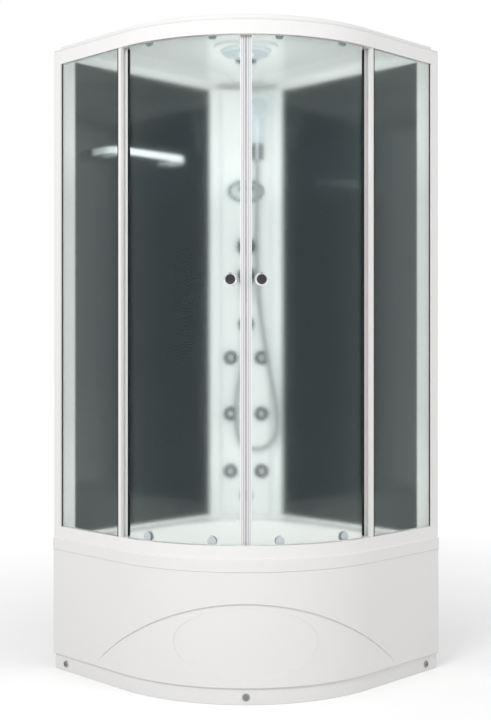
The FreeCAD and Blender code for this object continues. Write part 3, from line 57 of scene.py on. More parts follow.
def from_corner(x, y, z):
    """Point given along the left wall, along the right wall and up."""
    return Vector(((y - x) / ROOT2, CORNER_Y - (x + y) / ROOT2, z))


def on_axis(side, depth, z):
    """Point given sideways, from the room corner towards the front, and up."""
    return Vector((side, CORNER_Y - depth, z))


def front_direction(angle, side):
    """Outward direction of the round front; degrees from the middle, side -1 is the left half."""
    swing = math.radians(angle)
    return Vector((side * math.sin(swing), -math.cos(swing), 0))


def on_front(radius, angle, z, side):
    """Point of the round front, at a radius from its bend centre."""
    swing = math.radians(angle)
    return Vector((side * radius * math.sin(swing), BEND_Y - radius * math.cos(swing), z))


# ---------------------------------------------------------------- camera

IMAGE_HEIGHT = 720                # the photograph's frame is 491 x 720
FOCAL = 1185.94                   # in pixels of that frame
CAMERA_FROM_CORNER = 4.8036
CAMERA_HEIGHT = 1.129
HORIZON_ABOVE_MIDDLE = 15.9       # pixels
AXIS_RIGHT_OF_MIDDLE = 0.5        # pixels
SENSOR = 36.0
FARTHEST = 60

camera = bpy.data.objects.new("camera", bpy.data.cameras.new("camera"))
bpy.context.scene.collection.objects.link(camera)
camera.location = (0, CORNER_Y - CAMERA_FROM_CORNER, CAMERA_HEIGHT)
camera.rotation_euler = (math.radians(90), 0, 0)
camera.data.sensor_fit = "VERTICAL"
camera.data.sensor_height = SENSOR
camera.data.lens = FOCAL / IMAGE_HEIGHT * SENSOR
camera.data.shift_x = -AXIS_RIGHT_OF_MIDDLE / IMAGE_HEIGHT
camera.data.shift_y = -HORIZON_ABOVE_MIDDLE / IMAGE_HEIGHT
camera.data.clip_end = FARTHEST
bpy.context.scene.camera = camera


# ---------------------------------------------------------------- node tools

COLOUR, FLOAT = "NodeSocketColor", "NodeSocketFloat"


def group(name, inputs, outputs):
    """Empty shader group with named sockets; gives the tree and its two ends."""
    tree = bpy.data.node_groups.new(name, "ShaderNodeTree")
    for title, kind, value in inputs:
        socket = tree.interface.new_socket(title, in_out="INPUT", socket_type=kind)
        socket.default_value = value
    for title, kind in outputs:
        tree.interface.new_socket(title, in_out="OUTPUT", socket_type=kind)
    return tree, tree.nodes.new("NodeGroupInput"), tree.nodes.new("NodeGroupOutput")


def add(tree, kind, **settings):
    """A node with plain settings and, by name, socket values."""
    node = tree.nodes.new(kind)
    for key, value in settings.items():
        if hasattr(node, key):
            setattr(node, key, value)
        else:
            node.inputs[key.replace("_", " ")].default_value = value
    return node


def math_node(tree, operation, first, second):
    """A calculation with two numbers or sockets; gives its output socket."""
    node = add(tree, "ShaderNodeMath", operation=operation)
    for socket, value in zip(node.inputs, (first, second)):
        if isinstance(value, (int, float)):
            socket.default_value = value
        else:
            tree.links.new(value, socket)
    return node.outputs[0]


def noise(tree, place, size=None, **settings):
    """Noise over a place; size is the socket that gives its cell in metres."""
    node = add(tree, "ShaderNodeTexNoise", **settings)
    tree.links.new(place, node.inputs["Vector"])
    if size:
        tree.links.new(math_node(tree, "DIVIDE", 1.0, size), node.inputs["Scale"])
    return node.outputs["Fac"]


def shaded(tree, start, end, wobble):
    """Lightens and darkens the group's colour by a value round 0."""
    shade = add(tree, "ShaderNodeHueSaturation")
    tree.links.new(start.outputs["Colour"], shade.inputs["Color"])
    tree.links.new(math_node(tree, "ADD", wobble, 1.0), shade.inputs["Value"])
    tree.links.new(shade.outputs["Color"], end.inputs["Colour"])


PATCHES_PER_METRE = 6.0
GRAIN_SHARE = 0.25                # height of the grain beside that of the waves
LINE_STRETCH = 0.02               # lines are 50 times as long as wide


def make_moulded_group():
    """Faint unevenness of moulded, sprayed or polished surfaces, in colour, gloss and height."""
    tree, start, end = group(
        "moulded_surface",
        (("Colour", COLOUR, (1, 1, 1, 1)), ("Tone", FLOAT, 0.03), ("Roughness", FLOAT, 0.2),
         ("Spread", FLOAT, 0.05), ("Grain Size", FLOAT, 0.003), ("Wave Size", FLOAT, 0.08)),
        (("Colour", COLOUR), ("Roughness", FLOAT), ("Height", FLOAT)))
    place = add(tree, "ShaderNodeTexCoord").outputs["Object"]
    patches = noise(tree, place, Scale=PATCHES_PER_METRE, Detail=3.0, Roughness=0.6)
    waves = noise(tree, place, start.outputs["Wave Size"], Detail=1.0)
    grain = noise(tree, place, start.outputs["Grain Size"], Detail=2.0)

    centred = math_node(tree, "SUBTRACT", patches, 0.5)
    shaded(tree, start, end, math_node(tree, "MULTIPLY", centred, start.outputs["Tone"]))
    gloss = math_node(tree, "MULTIPLY", centred, start.outputs["Spread"])
    tree.links.new(math_node(tree, "ADD", gloss, start.outputs["Roughness"]),
                   end.inputs["Roughness"])
    fine = math_node(tree, "MULTIPLY", grain, GRAIN_SHARE)
    tree.links.new(math_node(tree, "ADD", waves, fine), end.inputs["Height"])
    return tree


def make_brushed_group():
    """Fine parallel upright lines of brushed or drawn metal."""
    tree, start, end = group(
        "brushed_surface",
        (("Colour", COLOUR, (1, 1, 1, 1)), ("Roughness", FLOAT, 0.3), ("Line Size", FLOAT, 0.0006),
         ("Depth", FLOAT, 0.3)),
        (("Colour", COLOUR), ("Roughness", FLOAT), ("Height", FLOAT)))
    place = add(tree, "ShaderNodeTexCoord").outputs["Object"]
    stretch = add(tree, "ShaderNodeMapping", Scale=(1, 1, LINE_STRETCH))
    tree.links.new(place, stretch.inputs["Vector"])
    lines = noise(tree, stretch.outputs["Vector"], start.outputs["Line Size"], Detail=3.0)
    centred = math_node(tree, "SUBTRACT", lines, 0.5)
    wobble = math_node(tree, "MULTIPLY", centred, start.outputs["Depth"])
    shaded(tree, start, end, wobble)
    tree.links.new(math_node(tree, "ADD", wobble, start.outputs["Roughness"]),
                   end.inputs["Roughness"])
    tree.links.new(lines, end.inputs["Height"])
    return tree


MOULDED = make_moulded_group()
BRUSHED = make_brushed_group()


def srgb(red, green, blue):
    """Colour as read from a picture, 0 to 255, as a linear colour."""
    def linear(value):
        value /= 255
        return value / 12.92 if value <= 0.04045 else ((value + 0.055) / 1.055) ** 2.4
    return (linear(red), linear(green), linear(blue), 1.0)


def finish(name, surface, values, bump, edge, **shader):
    """A Principled material fed by a surface group; edge is the soft edge radius in metres."""
    material = bpy.data.materials.new(name)
    material.use_nodes = True
    tree = material.node_tree
    principled = tree.nodes["Principled BSDF"]
    for key, value in shader.items():
        principled.inputs[key.replace("_", " ")].default_value = value
    source = add(tree, "ShaderNodeGroup")
    source.node_tree = surface
    for key, value in values.items():
        source.inputs[key].default_value = value
    tree.links.new(source.outputs["Colour"], principled.inputs["Base Color"])
    tree.links.new(source.outputs["Roughness"], principled.inputs["Roughness"])
    relief = add(tree, "ShaderNodeBump", Strength=1.0, Distance=bump)
    tree.links.new(source.outputs["Height"], relief.inputs["Height"])
    if edge:
        soft = add(tree, "ShaderNodeBevel", samples=4, Radius=edge)
        tree.links.new(soft.outputs["Normal"], relief.inputs["Normal"])
    tree.links.new(relief.outputs["Normal"], principled.inputs["Normal"])
    return material


# ---------------------------------------------------------------- finishes

WHITE_ACRYLIC = finish(
    "white_acrylic", MOULDED,
    {"Colour": srgb(243, 242, 240), "Tone": 0.02, "Roughness": 0.16, "Spread": 0.05,
     "Wave Size": 0.12, "Grain Size": 0.004},
    bump=0.00008, edge=0.002, Coat_Weight=0.35, Coat_Roughness=0.05, Specular_IOR_Level=0.45)
ROOF_ACRYLIC = finish(
    "roof_acrylic", MOULDED,
    {"Colour": srgb(240, 241, 239), "Tone": 0.03, "Roughness": 0.24, "Spread": 0.06,
     "Wave Size": 0.1, "Grain Size": 0.004},
    bump=0.00008, edge=0.003, Coat_Weight=0.15, Coat_Roughness=0.1)
PEARL_ACRYLIC = finish(
    "pearl_acrylic", MOULDED,
    {"Colour": srgb(243, 245, 244), "Tone": 0.03, "Roughness": 0.22, "Spread": 0.06,
     "Wave Size": 0.15, "Grain Size": 0.004},
    bump=0.00008, edge=0.002, Coat_Weight=0.3, Coat_Roughness=0.08)
WHITE_PROFILE = finish(
    "white_profile", MOULDED,
    {"Colour": srgb(248, 247, 245), "Tone": 0.015, "Roughness": 0.3, "Spread": 0.06,
     "Wave Size": 0.05, "Grain Size": 0.0012},
    bump=0.00003, edge=0.001, Specular_IOR_Level=0.5)
DARK_PANEL = finish(
    "dark_panel", MOULDED,
    {"Colour": srgb(22, 39, 42), "Tone": 0.1, "Roughness": 0.05, "Spread": 0.02,
     "Wave Size": 0.4, "Grain Size": 0.01},
    bump=0.00004, edge=0.0, Coat_Weight=0.2, Coat_Roughness=0.02)
CHROME = finish(
    "chrome", MOULDED,
    {"Colour": srgb(222, 224, 226), "Tone": 0.02, "Roughness": 0.06, "Spread": 0.03,
     "Wave Size": 0.03, "Grain Size": 0.002},
    bump=0.00001, edge=0.0006, Metallic=1.0)
SMOKED_CHROME = finish(
    "smoked_chrome", MOULDED,
    {"Colour": srgb(88, 94, 98), "Tone": 0.03, "Roughness": 0.14, "Spread": 0.04,
     "Wave Size": 0.03, "Grain Size": 0.002},
    bump=0.00001, edge=0.0006, Metallic=1.0)
CAP_METAL = finish(
    "cap_metal", MOULDED,
    {"Colour": srgb(160, 162, 160), "Tone": 0.06, "Roughness": 0.22, "Spread": 0.08,
     "Wave Size": 0.02, "Grain Size": 0.001},
    bump=0.00002, edge=0.0006, Metallic=1.0)
BRIGHT_RAIL = finish(
    "bright_rail", MOULDED,
    {"Colour": srgb(236, 240, 241), "Tone": 0.02, "Roughness": 0.16, "Spread": 0.04,
     "Wave Size": 0.05, "Grain Size": 0.002},
    bump=0.00002, edge=0.001, Coat_Weight=0.5, Coat_Roughness=0.05)
# Black gloss: the display window's own colour; on the knobs the same black is painted reflection.
BLACK_GLOSS_AND_KNOB_REFLECTION = finish(
    "black_gloss_and_knob_reflection", MOULDED,
    {"Colour": srgb(9, 9, 10), "Tone": 0.05, "Roughness": 0.07, "Spread": 0.02,
     "Wave Size": 0.02, "Grain Size": 0.001},
    bump=0.00001, edge=0.0, Coat_Weight=0.6, Coat_Roughness=0.03)
WHITE_PLASTIC = finish(
    "white_plastic", MOULDED,
    {"Colour": srgb(238, 238, 235), "Tone": 0.03, "Roughness": 0.35, "Spread": 0.08,
     "Wave Size": 0.03, "Grain Size": 0.0008},
    bump=0.00005, edge=0.0006)
# Dark grey of the jets and nozzles; on the jet bodies the dark colour is partly painted reflection
# of the dark surroundings in their faces.
GREY_PLASTIC_AND_JET_REFLECTION = finish(
    "grey_plastic", MOULDED,
    {"Colour": srgb(56, 62, 66), "Tone": 0.04, "Roughness": 0.42, "Spread": 0.08,
     "Wave Size": 0.03, "Grain Size": 0.0008},
    bump=0.00005, edge=0.0006, Specular_IOR_Level=0.25)
SILVER_PLASTIC = finish(
    "silver_plastic", MOULDED,
    {"Colour": srgb(204, 212, 215), "Tone": 0.03, "Roughness": 0.28, "Spread": 0.06,
     "Wave Size": 0.03, "Grain Size": 0.0006},
    bump=0.00003, edge=0.0006)
ICE_PLASTIC = finish(
    "ice_plastic", MOULDED,
    {"Colour": srgb(228, 236, 241), "Tone": 0.03, "Roughness": 0.25, "Spread": 0.06,
     "Wave Size": 0.05, "Grain Size": 0.001},
    bump=0.00003, edge=0.001)
LINE_GREY = finish(
    "line_grey", MOULDED,
    {"Colour": srgb(186, 188, 198), "Tone": 0.05, "Roughness": 0.4, "Spread": 0.08,
     "Wave Size": 0.05, "Grain Size": 0.001},
    bump=0.00003, edge=0.0)
# Dark plastic of the fan; on the plinth caps the same colour is painted shade in the screw slots.
DARK_PLASTIC_AND_SLOT_SHADE = finish(
    "dark_plastic", MOULDED,
    {"Colour": srgb(34, 35, 37), "Tone": 0.06, "Roughness": 0.38, "Spread": 0.1,
     "Wave Size": 0.03, "Grain Size": 0.0006},
    bump=0.00005, edge=0.0005)
# Black rubber of the gaskets and seals; on the doors' trailing end faces it is partly painted
# shade.
BLACK_RUBBER_AND_END_SHADE = finish(
    "black_rubber_and_end_shade", MOULDED,
    {"Colour": srgb(24, 24, 26), "Tone": 0.08, "Roughness": 0.55, "Spread": 0.15,
     "Wave Size": 0.02, "Grain Size": 0.0008},
    bump=0.00008, edge=0.0005)
SEAL_VINYL = finish(
    "seal_vinyl", MOULDED,
    {"Colour": srgb(206, 211, 218), "Tone": 0.05, "Roughness": 0.35, "Spread": 0.08,
     "Wave Size": 0.04, "Grain Size": 0.001},
    bump=0.00004, edge=0.0006, Transmission_Weight=0.25, IOR=1.45)
ZINC_STEEL = finish(
    "zinc_steel", MOULDED,
    {"Colour": srgb(176, 180, 184), "Tone": 0.16, "Roughness": 0.34, "Spread": 0.2,
     "Wave Size": 0.02, "Grain Size": 0.003},
    bump=0.00005, edge=0.001, Metallic=1.0)
SHEET_STEEL = finish(
    "sheet_steel", BRUSHED,
    {"Colour": srgb(184, 186, 188), "Roughness": 0.3, "Line Size": 0.0012, "Depth": 0.25},
    bump=0.00003, edge=0.001, Metallic=1.0)
HOSE_METAL = finish(
    "hose_metal", BRUSHED,
    {"Colour": srgb(186, 190, 193), "Roughness": 0.3, "Line Size": 0.001, "Depth": 0.2},
    bump=0.00002, edge=0.0, Metallic=0.85)
# Satin glass blurs by its roughness. Its low IOR keeps a grey veil off the dark walls.
SATIN_GLASS = finish(
    "satin_glass", MOULDED,
    {"Colour": srgb(248, 254, 253), "Tone": 0.01, "Roughness": 0.145, "Spread": 0.02,
     "Wave Size": 0.3, "Grain Size": 0.002},
    bump=0.000002, edge=0.0, Transmission_Weight=1.0, IOR=1.28)
CLEAR_GLASS = finish(
    "clear_glass", MOULDED,
    {"Colour": srgb(236, 248, 245), "Tone": 0.01, "Roughness": 0.03, "Spread": 0.01,
     "Wave Size": 0.2, "Grain Size": 0.004},
    bump=0.00001, edge=0.0, Transmission_Weight=1.0, IOR=1.45)
LAMP_GLASS = finish(
    "lamp_glass", MOULDED,
    {"Colour": srgb(214, 232, 246), "Tone": 0.02, "Roughness": 0.25, "Spread": 0.04,
     "Wave Size": 0.02, "Grain Size": 0.002},
    bump=0.00003, edge=0.0, Emission_Color=srgb(206, 226, 244), Emission_Strength=0.1)

# What isn't listed here, such as knobs and the waste, is chrome.
NODES_OF_FINISH = (
    (WHITE_ACRYLIC, ("tub_shell", "apron_panel", "plinth_strip")),
    (ROOF_ACRYLIC, ("roof_shell",)),
    (PEARL_ACRYLIC, ("column_shell",)),
    (WHITE_PROFILE, ("bottom_rail", "top_rail", "wall_posts", "wall_trims",
                     "fixed_glass_profiles", "left_door_profiles", "right_door_profiles")),
    (SATIN_GLASS, ("left_fixed_glass", "right_fixed_glass", "left_door_glass",
                   "right_door_glass")),
    (CLEAR_GLASS, ("shelf_glass",)),
    (LAMP_GLASS, ("lamp_lens",)),
    (DARK_PANEL, ("left_back_panel", "right_back_panel")),
    (SEAL_VINYL, ("left_door_seals", "right_door_seals")),
    (ZINC_STEEL, ("support_frame", "levelling_feet")),
    (SHEET_STEEL, ("steam_generator",)),
    (WHITE_PLASTIC, ("drain_trap", "pipe_manifold", "left_outer_wheel", "left_inner_wheel",
                     "right_outer_wheel", "right_inner_wheel")),
    # jet bodies: grey plastic, darkened in part as painted reflection
    (GREY_PLASTIC_AND_JET_REFLECTION, ("jet_bodies",)),
    (SILVER_PLASTIC, ("control_face", "left_door_rollers", "right_door_rollers")),
    (ICE_PLASTIC, ("rain_shower_head", "handset")),
    (SMOKED_CHROME, ("control_bezel", "mixer_body", "mixer_lever", "diverter_knob",
                     "hose_outlet", "handset_holder")),
    (CAP_METAL, ("steam_outlet", "plinth_caps")),
    (BRIGHT_RAIL, ("shelf_rail",)),
    (DARK_PLASTIC_AND_SLOT_SHADE, ("fan_housing", "fan_rotor")),
)
finish_of_node = {name: look for look, names in NODES_OF_FINISH for name in names}
for name, thing in nodes.items():
    for place in thing.material_slots:
        place.material = finish_of_node.get(name, CHROME)


# ---------------------------------------------------------------- piece tools

SHARP_EDGE = 35                   # degrees


def piece(name, bm, material, body="cabin"):
    """Turns a bmesh into a piece that rides on a body."""
    bmesh.ops.recalc_face_normals(bm, faces=bm.faces)
    mesh = bpy.data.meshes.new(name)
    bm.to_mesh(mesh)
    bm.free()
    mesh.shade_smooth()
    mesh.set_sharp_from_angle(angle=math.radians(SHARP_EDGE))
    thing = bpy.data.objects.new(name, mesh)
    bpy.context.scene.collection.objects.link(thing)
    mesh.materials.append(material)
    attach(thing, body)
    return thing


def frame_of(axis):
    """An axis and two directions at right angles to it."""
    axis = Vector(axis).normalized()
    helper = Vector((0, 0, 1)) if abs(axis.z) < 0.9 else Vector((1, 0, 0))
    across = axis.cross(helper).normalized()
    return axis, across, axis.cross(across)


def wall_between(bm, low, high):
    """Adds the faces between two closed rings; a ring of one point is a tip."""
    for k in range(max(len(low), len(high))):
        corners = [low[k % len(low)], low[(k + 1) % len(low)],
                   high[(k + 1) % len(high)], high[k % len(high)]]
        bm.faces.new(list(dict.fromkeys(corners)))


def closed(bm, low, high):
    """Adds a wall between two rings and closes both ends."""
    bm.faces.new(low[::-1])
    bm.faces.new(high)
    wall_between(bm, low, high)


def turned(bm, profile, centre, axis, steps=48):
    """Adds a closed turned form; the profile is (radius, distance along the axis)."""
    axis, across, up = frame_of(axis)
    turn = [2 * math.pi * k / steps for k in range(steps)]
    rings = []
    for radius, along in profile:
        middle = Vector(centre) + axis * along
        spots = [middle + (across * math.cos(a) + up * math.sin(a)) * radius for a in turn]
        rings.append([bm.verts.new(spot) for spot in (spots if radius else spots[:1])])
    for low, high in zip(rings, rings[1:]):
        wall_between(bm, low, high)


def prism(outline, low, high):
    """Upright closed form over a list of (x, y) points."""
    bm = bmesh.new()
    closed(bm, *[[bm.verts.new((x, y, z)) for x, y in outline] for z in (low, high)])
    return bm


# ---------------------------------------------------------------- shower hose

HOSE_DIAMETER = 0.014
HOSE_ROUTE_MM = (                 # side, depth from the room corner, height
    (0, 212, 1184), (0, 212, 1095), (-38, 209, 935), (-38, 206, 769), (9, 206, 722),
    (74, 206, 722), (121, 206, 769), (121, 208, 880), (72, 208, 1120), (40, 210, 1400),
    (43, 212, 1740), (43, 212, 1846),
)
NUT_PROFILE = ((0, 0), (0.0082, 0), (0.0086, 0.002), (0.0095, 0.022), (0.0091, 0.024), (0, 0.024))
LOW_NUT_DROP, HIGH_NUT_DROP = 0.030, 0.026      # nut's narrow end under the hose's end


def hose_point(index, drop=0):
    """Point of the hose's route, or the place that far under it."""
    side, depth, height = [value / MM for value in HOSE_ROUTE_MM[index]]
    return on_axis(side, depth, height - drop)


def make_hose():
    """Metal hose in one smooth line, with a nut at each end."""
    line = bpy.data.curves.new("hose", "CURVE")
    line.dimensions = "3D"
    line.resolution_u = 10
    line.bevel_depth = HOSE_DIAMETER / 2
    line.bevel_resolution = 6
    line.use_fill_caps = True
    spline = line.splines.new("NURBS")
    spline.points.add(len(HOSE_ROUTE_MM) - 1)
    for index, point in enumerate(spline.points):
        point.co = (*hose_point(index), 1.0)
    spline.order_u = 3
    spline.use_endpoint_u = True
    hose = bpy.data.objects.new("hose", line)
    bpy.context.scene.collection.objects.link(hose)
    line.materials.append(HOSE_METAL)
    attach(hose, "cabin")
    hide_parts("shower_hose")

    for name, index, drop in (("hose_nut_low", 0, LOW_NUT_DROP),
                              ("hose_nut_high", -1, HIGH_NUT_DROP)):
        bm = bmesh.new()
        turned(bm, NUT_PROFILE, hose_point(index, drop), (0, 0, 1))
        piece(name, bm, CHROME)


make_hose()


# ---------------------------------------------------------------- glass gaskets

# outlines on the left side, from the room corner along the left wall and out from it
POST_GASKET_MM = ((938, 38), (940.5, 38), (940, 40.5), (938, 41))
PANE_GASKET_MM = ((938.05, 344.8), (941.8, 344.8), (941.8, 349.2), (938.05, 349.2))


def gasket_pair(name, outline_mm):
    """The same upright strip on the left and, mirrored, on the right."""
    spots = [from_corner(x / MM, y / MM, 0) for x, y in outline_mm]
    for side, sign in SIDES:
        bm = prism([(-sign * spot.x, spot.y) for spot in spots], RAIL_TOP, TOP_RAIL_LOW)
        piece("%s_%s" % (side, name), bm, BLACK_RUBBER_AND_END_SHADE)


gasket_pair("post_gasket", POST_GASKET_MM)
gasket_pair("pane_gasket", PANE_GASKET_MM)


# ---------------------------------------------------------------- knobs and caps

KNOB_HEIGHT = 1.332
KNOB_FACE = 0.5695                # outer face of the knobs, from the bend centre
KNOB_ANGLE = 4.97                 # from the middle of the front
DOME = ((0, -0.002), (0.0150, -0.002), (0.0158, -0.0004), (0.0158, 0.0006), (0.0148, 0.0016),
        (0.0118, 0.0029), (0.0078, 0.0037), (0.0038, 0.0041), (0, 0.0042))


def make_knob_reflection_domes():
    """Black gloss dome on each chrome knob, a painted reflection: it stands for the dark
    surroundings that the knob's face mirrors.
    """
    for side, sign in SIDES:
        bm = bmesh.new()
        turned(bm, DOME, on_front(KNOB_FACE, KNOB_ANGLE, KNOB_HEIGHT, sign),
               front_direction(KNOB_ANGLE, sign), steps=64)
        # the dark dome is painted reflection, not a part of the knob
        piece(side + "_knob_painted_reflection", bm, BLACK_GLOSS_AND_KNOB_REFLECTION, body=side + "_door")


make_knob_reflection_domes()

CAPS = (                          # middle of each plinth cap's face, and its outward direction
    ((0, -0.5459, 0.024), (0, -1, 0)),
    ((-0.6244, -0.1566, 0.024), (-1, -1, 0)),
    ((0.6244, -0.1566, 0.024), (1, -1, 0)),
)
CAP_RING = ((0.0060, -0.0006), (0.0060, 0.0005), (0.0067, 0.0007), (0.0074, 0.0005),
            (0.0074, -0.0006), (0.0060, -0.0006))
SLOT_HALF_LENGTH, SLOT_HALF_WIDTH = 0.0040, 0.0007
SLOT_SUNK, SLOT_PROUD = -0.0006, 0.0003


def make_cap_screw_shade():
    """Dark cross and thin ring in the face of each plinth cap: painted shade of the screw's slot
    and of the gap round its head.
    """
    for number, (spot, out) in enumerate(CAPS):
        out, across, up = frame_of(out)
        bm = bmesh.new()
        turned(bm, CAP_RING, spot, out, steps=32)
        for first, second in ((across, up), (up, across)):
            corners = [Vector(spot) + first * along * SLOT_HALF_LENGTH
                       + second * wide * SLOT_HALF_WIDTH
                       for along, wide in ((-1, -1), (-1, 1), (1, 1), (1, -1))]
            closed(bm, *[[bm.verts.new(corner + out * reach) for corner in corners]
                         for reach in (SLOT_SUNK, SLOT_PROUD)])
        # the dark cross and ring are painted shade of the slot and the gap round the screw head
        piece("cap_screw_%d" % number, bm, DARK_PLASTIC_AND_SLOT_SHADE)


make_cap_screw_shade()


# ---------------------------------------------------------------- lines on the door profiles

PROFILE_LOW, PROFILE_HIGH = 0.4995, 2.0975
LINE_RADII = (0.5412, 0.5427)                   # from the bend centre
LINE_ANGLES = ((0.62, 0.92), (1.28, 1.48))      # degrees from the middle of the front
# Black strip over each door's trailing end face: a brush seal, and also painted shade, since it
# darkens that face where shade falls.
SEAL_AND_SHADE_RADII = (0.5297, 0.5423)
SEAL_AND_SHADE_ANGLES = (45.765, 45.805)
ARC_STEPS = 4


def door_strip(name, side, sign, radii, angles, material):
    """Upright curved strip of a door between two radii and two angles."""
    inner, outer = radii
    start, stop = angles
    swings = [start + (stop - start) * k / ARC_STEPS for k in range(ARC_STEPS + 1)]
    spots = [on_front(inner, swing, 0, sign) for swing in swings]
    spots += [on_front(outer, swing, 0, sign) for swing in reversed(swings)]
    bm = prism([(spot.x, spot.y) for spot in spots], PROFILE_LOW, PROFILE_HIGH)
    piece("%s_%s" % (side, name), bm, material, body=side + "_door")


for side, sign in SIDES:
    for number, angles in enumerate(LINE_ANGLES):
        door_strip("door_line_%d" % number, side, sign, LINE_RADII, angles, LINE_GREY)
    # the end strip is a seal and painted shade on the door's trailing end face
    door_strip("brush_seal_and_painted_shade", side, sign, SEAL_AND_SHADE_RADII, SEAL_AND_SHADE_ANGLES, BLACK_RUBBER_AND_END_SHADE)


# ---------------------------------------------------------------- control panel

PANEL_FACE = CORNER_Y - 0.187     # front of the control panel's face
WINDOW_HEIGHT = 1.735             # its dark window
WINDOW_HALF_WIDTH, WINDOW_HALF_HEIGHT, WINDOW_CORNER = 0.026, 0.010, 0.003
# rings of the window: share of its size, distance in front of the panel's face
WINDOW_RINGS = ((1.0, -0.002), (1.0, 0.0006), (0.97, 0.0010))
CORNER_STEPS = 6
KEY_PROFILE = ((0, -0.001), (0.0044, -0.001), (0.0044, 0.0006), (0.0036, 0.0012), (0, 0.0013))
KEY_ROWS = ((1.712, (-0.032, -0.016, 0.0, 0.016, 0.032)), (1.728, (-0.044, 0.044)))


def make_display_window():
    """Dark rounded plate with a softened front edge."""
    outline = []
    for side, up, start in ((1, 1, 0), (-1, 1, 90), (-1, -1, 180), (1, -1, 270)):
        for k in range(CORNER_STEPS + 1):
            angle = math.radians(start + 90 * k / CORNER_STEPS)
            outline.append((side * (WINDOW_HALF_WIDTH - WINDOW_CORNER)
                            + WINDOW_CORNER * math.cos(angle),
                            up * (WINDOW_HALF_HEIGHT - WINDOW_CORNER)
                            + WINDOW_CORNER * math.sin(angle)))
    bm = bmesh.new()
    rings = [[bm.verts.new((x * share, PANEL_FACE - reach, WINDOW_HEIGHT + z * share))
              for x, z in outline] for share, reach in WINDOW_RINGS]
    for low, high in zip(rings, rings[1:]):
        wall_between(bm, low, high)
    bm.faces.new(rings[0][::-1])
    bm.faces.new(rings[-1])
    piece("display_window", bm, BLACK_GLOSS_AND_KNOB_REFLECTION)


def make_panel_keys():
    """Two rows of plain round keys."""
    bm = bmesh.new()
    for height, places in KEY_ROWS:
        for x in places:
            turned(bm, KEY_PROFILE, (x, PANEL_FACE, height), (0, -1, 0), steps=24)
    piece("panel_keys", bm, ICE_PLASTIC)


make_display_window()
make_panel_keys()


# ---------------------------------------------------------------- spray faces

NIB = ((0, -0.001), (0.0021, -0.001), (0.0018, 0.0008), (0.0013, 0.0018), (0, 0.002))
NIBS_PER_RING = 6                 # in the first ring; the next ones have that many more each
RAIN_FACE, RAIN_RADIUS, RAIN_RINGS = on_axis(0, 0.665, 2.140), 0.076, 7
HANDSET_FACE, HANDSET_RADIUS, HANDSET_RINGS = Vector((0.043, 0.3139, 2.0429)), 0.038, 5
HANDSET_OUT = (0, -0.978, 0.208)


def spray_face(name, centre, axis, radius, rings):
    """Rings of small soft nozzles standing out of a shower face."""
    bm = bmesh.new()
    _, across, up = frame_of(axis)
    for ring in range(1, rings + 1):
        reach = radius * ring / rings
        count = NIBS_PER_RING * ring
        for k in range(count):
            angle = 2 * math.pi * k / count
            spot = centre + (across * math.cos(angle) + up * math.sin(angle)) * reach
            turned(bm, NIB, spot, axis, steps=8)
    piece(name, bm, GREY_PLASTIC_AND_JET_REFLECTION)


spray_face("rain_nozzles", RAIN_FACE, (0, 0, -1), RAIN_RADIUS, RAIN_RINGS)
spray_face("handset_nozzles", HANDSET_FACE, HANDSET_OUT, HANDSET_RADIUS, HANDSET_RINGS)


# ---------------------------------------------------------------- stage and light

WHITE = (1.0, 1.0, 1.0, 1.0)
PAPER = (0.92, 0.92, 0.92, 1)     # floor as the eye sees it
DULL = (0.66, 0.66, 0.66, 1)      # floor as the cabin's matt surfaces meet it
FLOOR_HALF, FLOOR_DROP = 30, 0.0005
LIFT_FROM, LIFT_TO = 0.9, 4.0     # distance from the cabin's middle, and the lift there
LIFT_NEAR, LIFT_FAR = 0.2, 0.5
ROOM_LIGHT, BACKDROP = 0.62, 1.0


def eye_rays(tree):
    """Socket that is 1 for rays of the camera, of gloss and through glass."""
    path = add(tree, "ShaderNodeLightPath").outputs
    mirrored = math_node(tree, "MAXIMUM", path["Is Glossy Ray"], path["Is Transmission Ray"])
    return math_node(tree, "MAXIMUM", path["Is Camera Ray"], mirrored)


def switch(tree, output, other, seen):
    """Shows one shader to the eye and another to all other rays."""
    mix = add(tree, "ShaderNodeMixShader")
    tree.links.new(eye_rays(tree), mix.inputs["Fac"])
    tree.links.new(other.outputs[0], mix.inputs[1])
    tree.links.new(seen.outputs[0], mix.inputs[2])
    tree.links.new(mix.outputs[0], add(tree, output).inputs["Surface"])


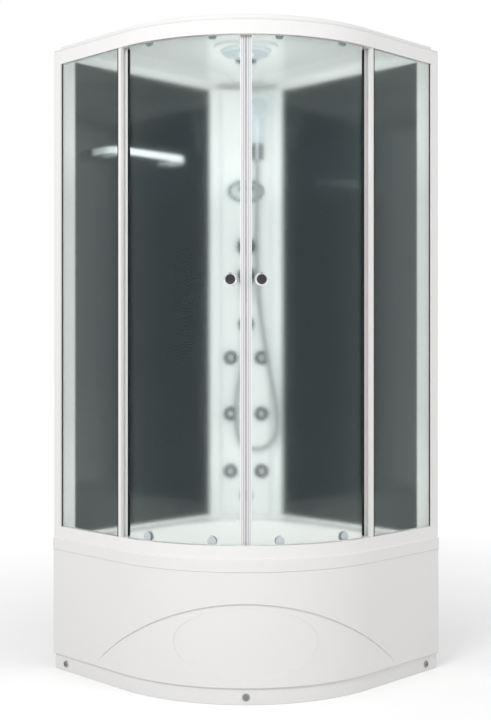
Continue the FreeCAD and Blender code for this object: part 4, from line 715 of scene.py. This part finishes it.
def make_floor():
    """Pale floor that reads as the white backdrop but keeps the cabin's soft shadow."""
    bm = bmesh.new()
    bmesh.ops.create_grid(bm, x_segments=1, y_segments=1, size=FLOOR_HALF)
    mesh = bpy.data.meshes.new("floor")
    bm.to_mesh(mesh)
    bm.free()
    floor = bpy.data.objects.new("floor", mesh)
    bpy.context.scene.collection.objects.link(floor)
    floor.location.z = -FLOOR_DROP
    material = bpy.data.materials.new("floor_paper")
    material.use_nodes = True
    tree = material.node_tree
    tree.nodes.clear()
    away = add(tree, "ShaderNodeVectorMath", operation="LENGTH")
    place = add(tree, "ShaderNodeNewGeometry")
    tree.links.new(place.outputs["Position"], away.inputs[0])
    fade = add(tree, "ShaderNodeMapRange", From_Min=LIFT_FROM, From_Max=LIFT_TO,
               To_Min=LIFT_NEAR, To_Max=LIFT_FAR)
    tree.links.new(away.outputs["Value"], fade.inputs["Value"])
    lift = add(tree, "ShaderNodeEmission", Color=WHITE)
    tree.links.new(fade.outputs["Result"], lift.inputs["Strength"])
    lifted = add(tree, "ShaderNodeAddShader")
    tree.links.new(add(tree, "ShaderNodeBsdfDiffuse", Color=PAPER).outputs[0], lifted.inputs[0])
    tree.links.new(lift.outputs[0], lifted.inputs[1])
    switch(tree, "ShaderNodeOutputMaterial", add(tree, "ShaderNodeBsdfDiffuse", Color=DULL),
           lifted)
    mesh.materials.append(material)


def make_world():
    """White surroundings for the eye, glass and gloss; a softer light on matt surfaces."""
    world = bpy.data.worlds.new("studio")
    bpy.context.scene.world = world
    world.use_nodes = True
    tree = world.node_tree
    tree.nodes.clear()
    soft, bright = (add(tree, "ShaderNodeBackground", Color=WHITE, Strength=strength)
                    for strength in (ROOM_LIGHT, BACKDROP))
    switch(tree, "ShaderNodeOutputWorld", soft, bright)


LAMPS = (                         # name, place, target, width, height, watts
    ("front_softbox", (-1.6, -3.6, 2.6), (0, 0, 1.0), 1.6, 1.2, 62),
    ("side_softbox", (3.0, -2.4, 2.2), (0, 0, 1.0), 1.4, 1.8, 18),
    ("roof_light", (0, 0, 3.6), (0, 0.05, 0), 1.6, 1.6, 6),
    ("basin_lamp", on_axis(0, 0.72, 0.85), on_axis(0, 0.72, 0), 0.5, 0.5, 1.5),
    ("ceiling_lamp", on_axis(0, 0.72, 1.66), on_axis(0, 0.72, 2.2), 0.7, 0.7, 2.0),
    ("door_glow", on_axis(0, 0.80, 1.25), on_axis(0, 0.2, 1.25), 0.9, 1.5, 3.0),
)


def make_lamps():
    """Soft lamps that light the cabin but aren't seen, in glass or in gloss either."""
    for name, place, target, width, height, watts in LAMPS:
        light = bpy.data.lights.new(name, "AREA")
        light.shape = "RECTANGLE"
        light.size, light.size_y = width, height
        light.energy = watts
        lamp = bpy.data.objects.new(name, light)
        lamp.location = place
        aim = Vector(target) - Vector(place)
        lamp.rotation_euler = aim.to_track_quat("-Z", "Y").to_euler()
        lamp.visible_camera = lamp.visible_glossy = lamp.visible_transmission = False
        bpy.context.scene.collection.objects.link(lamp)


make_floor()
make_world()
make_lamps()
bpy.context.scene.view_settings.view_transform = "Standard"
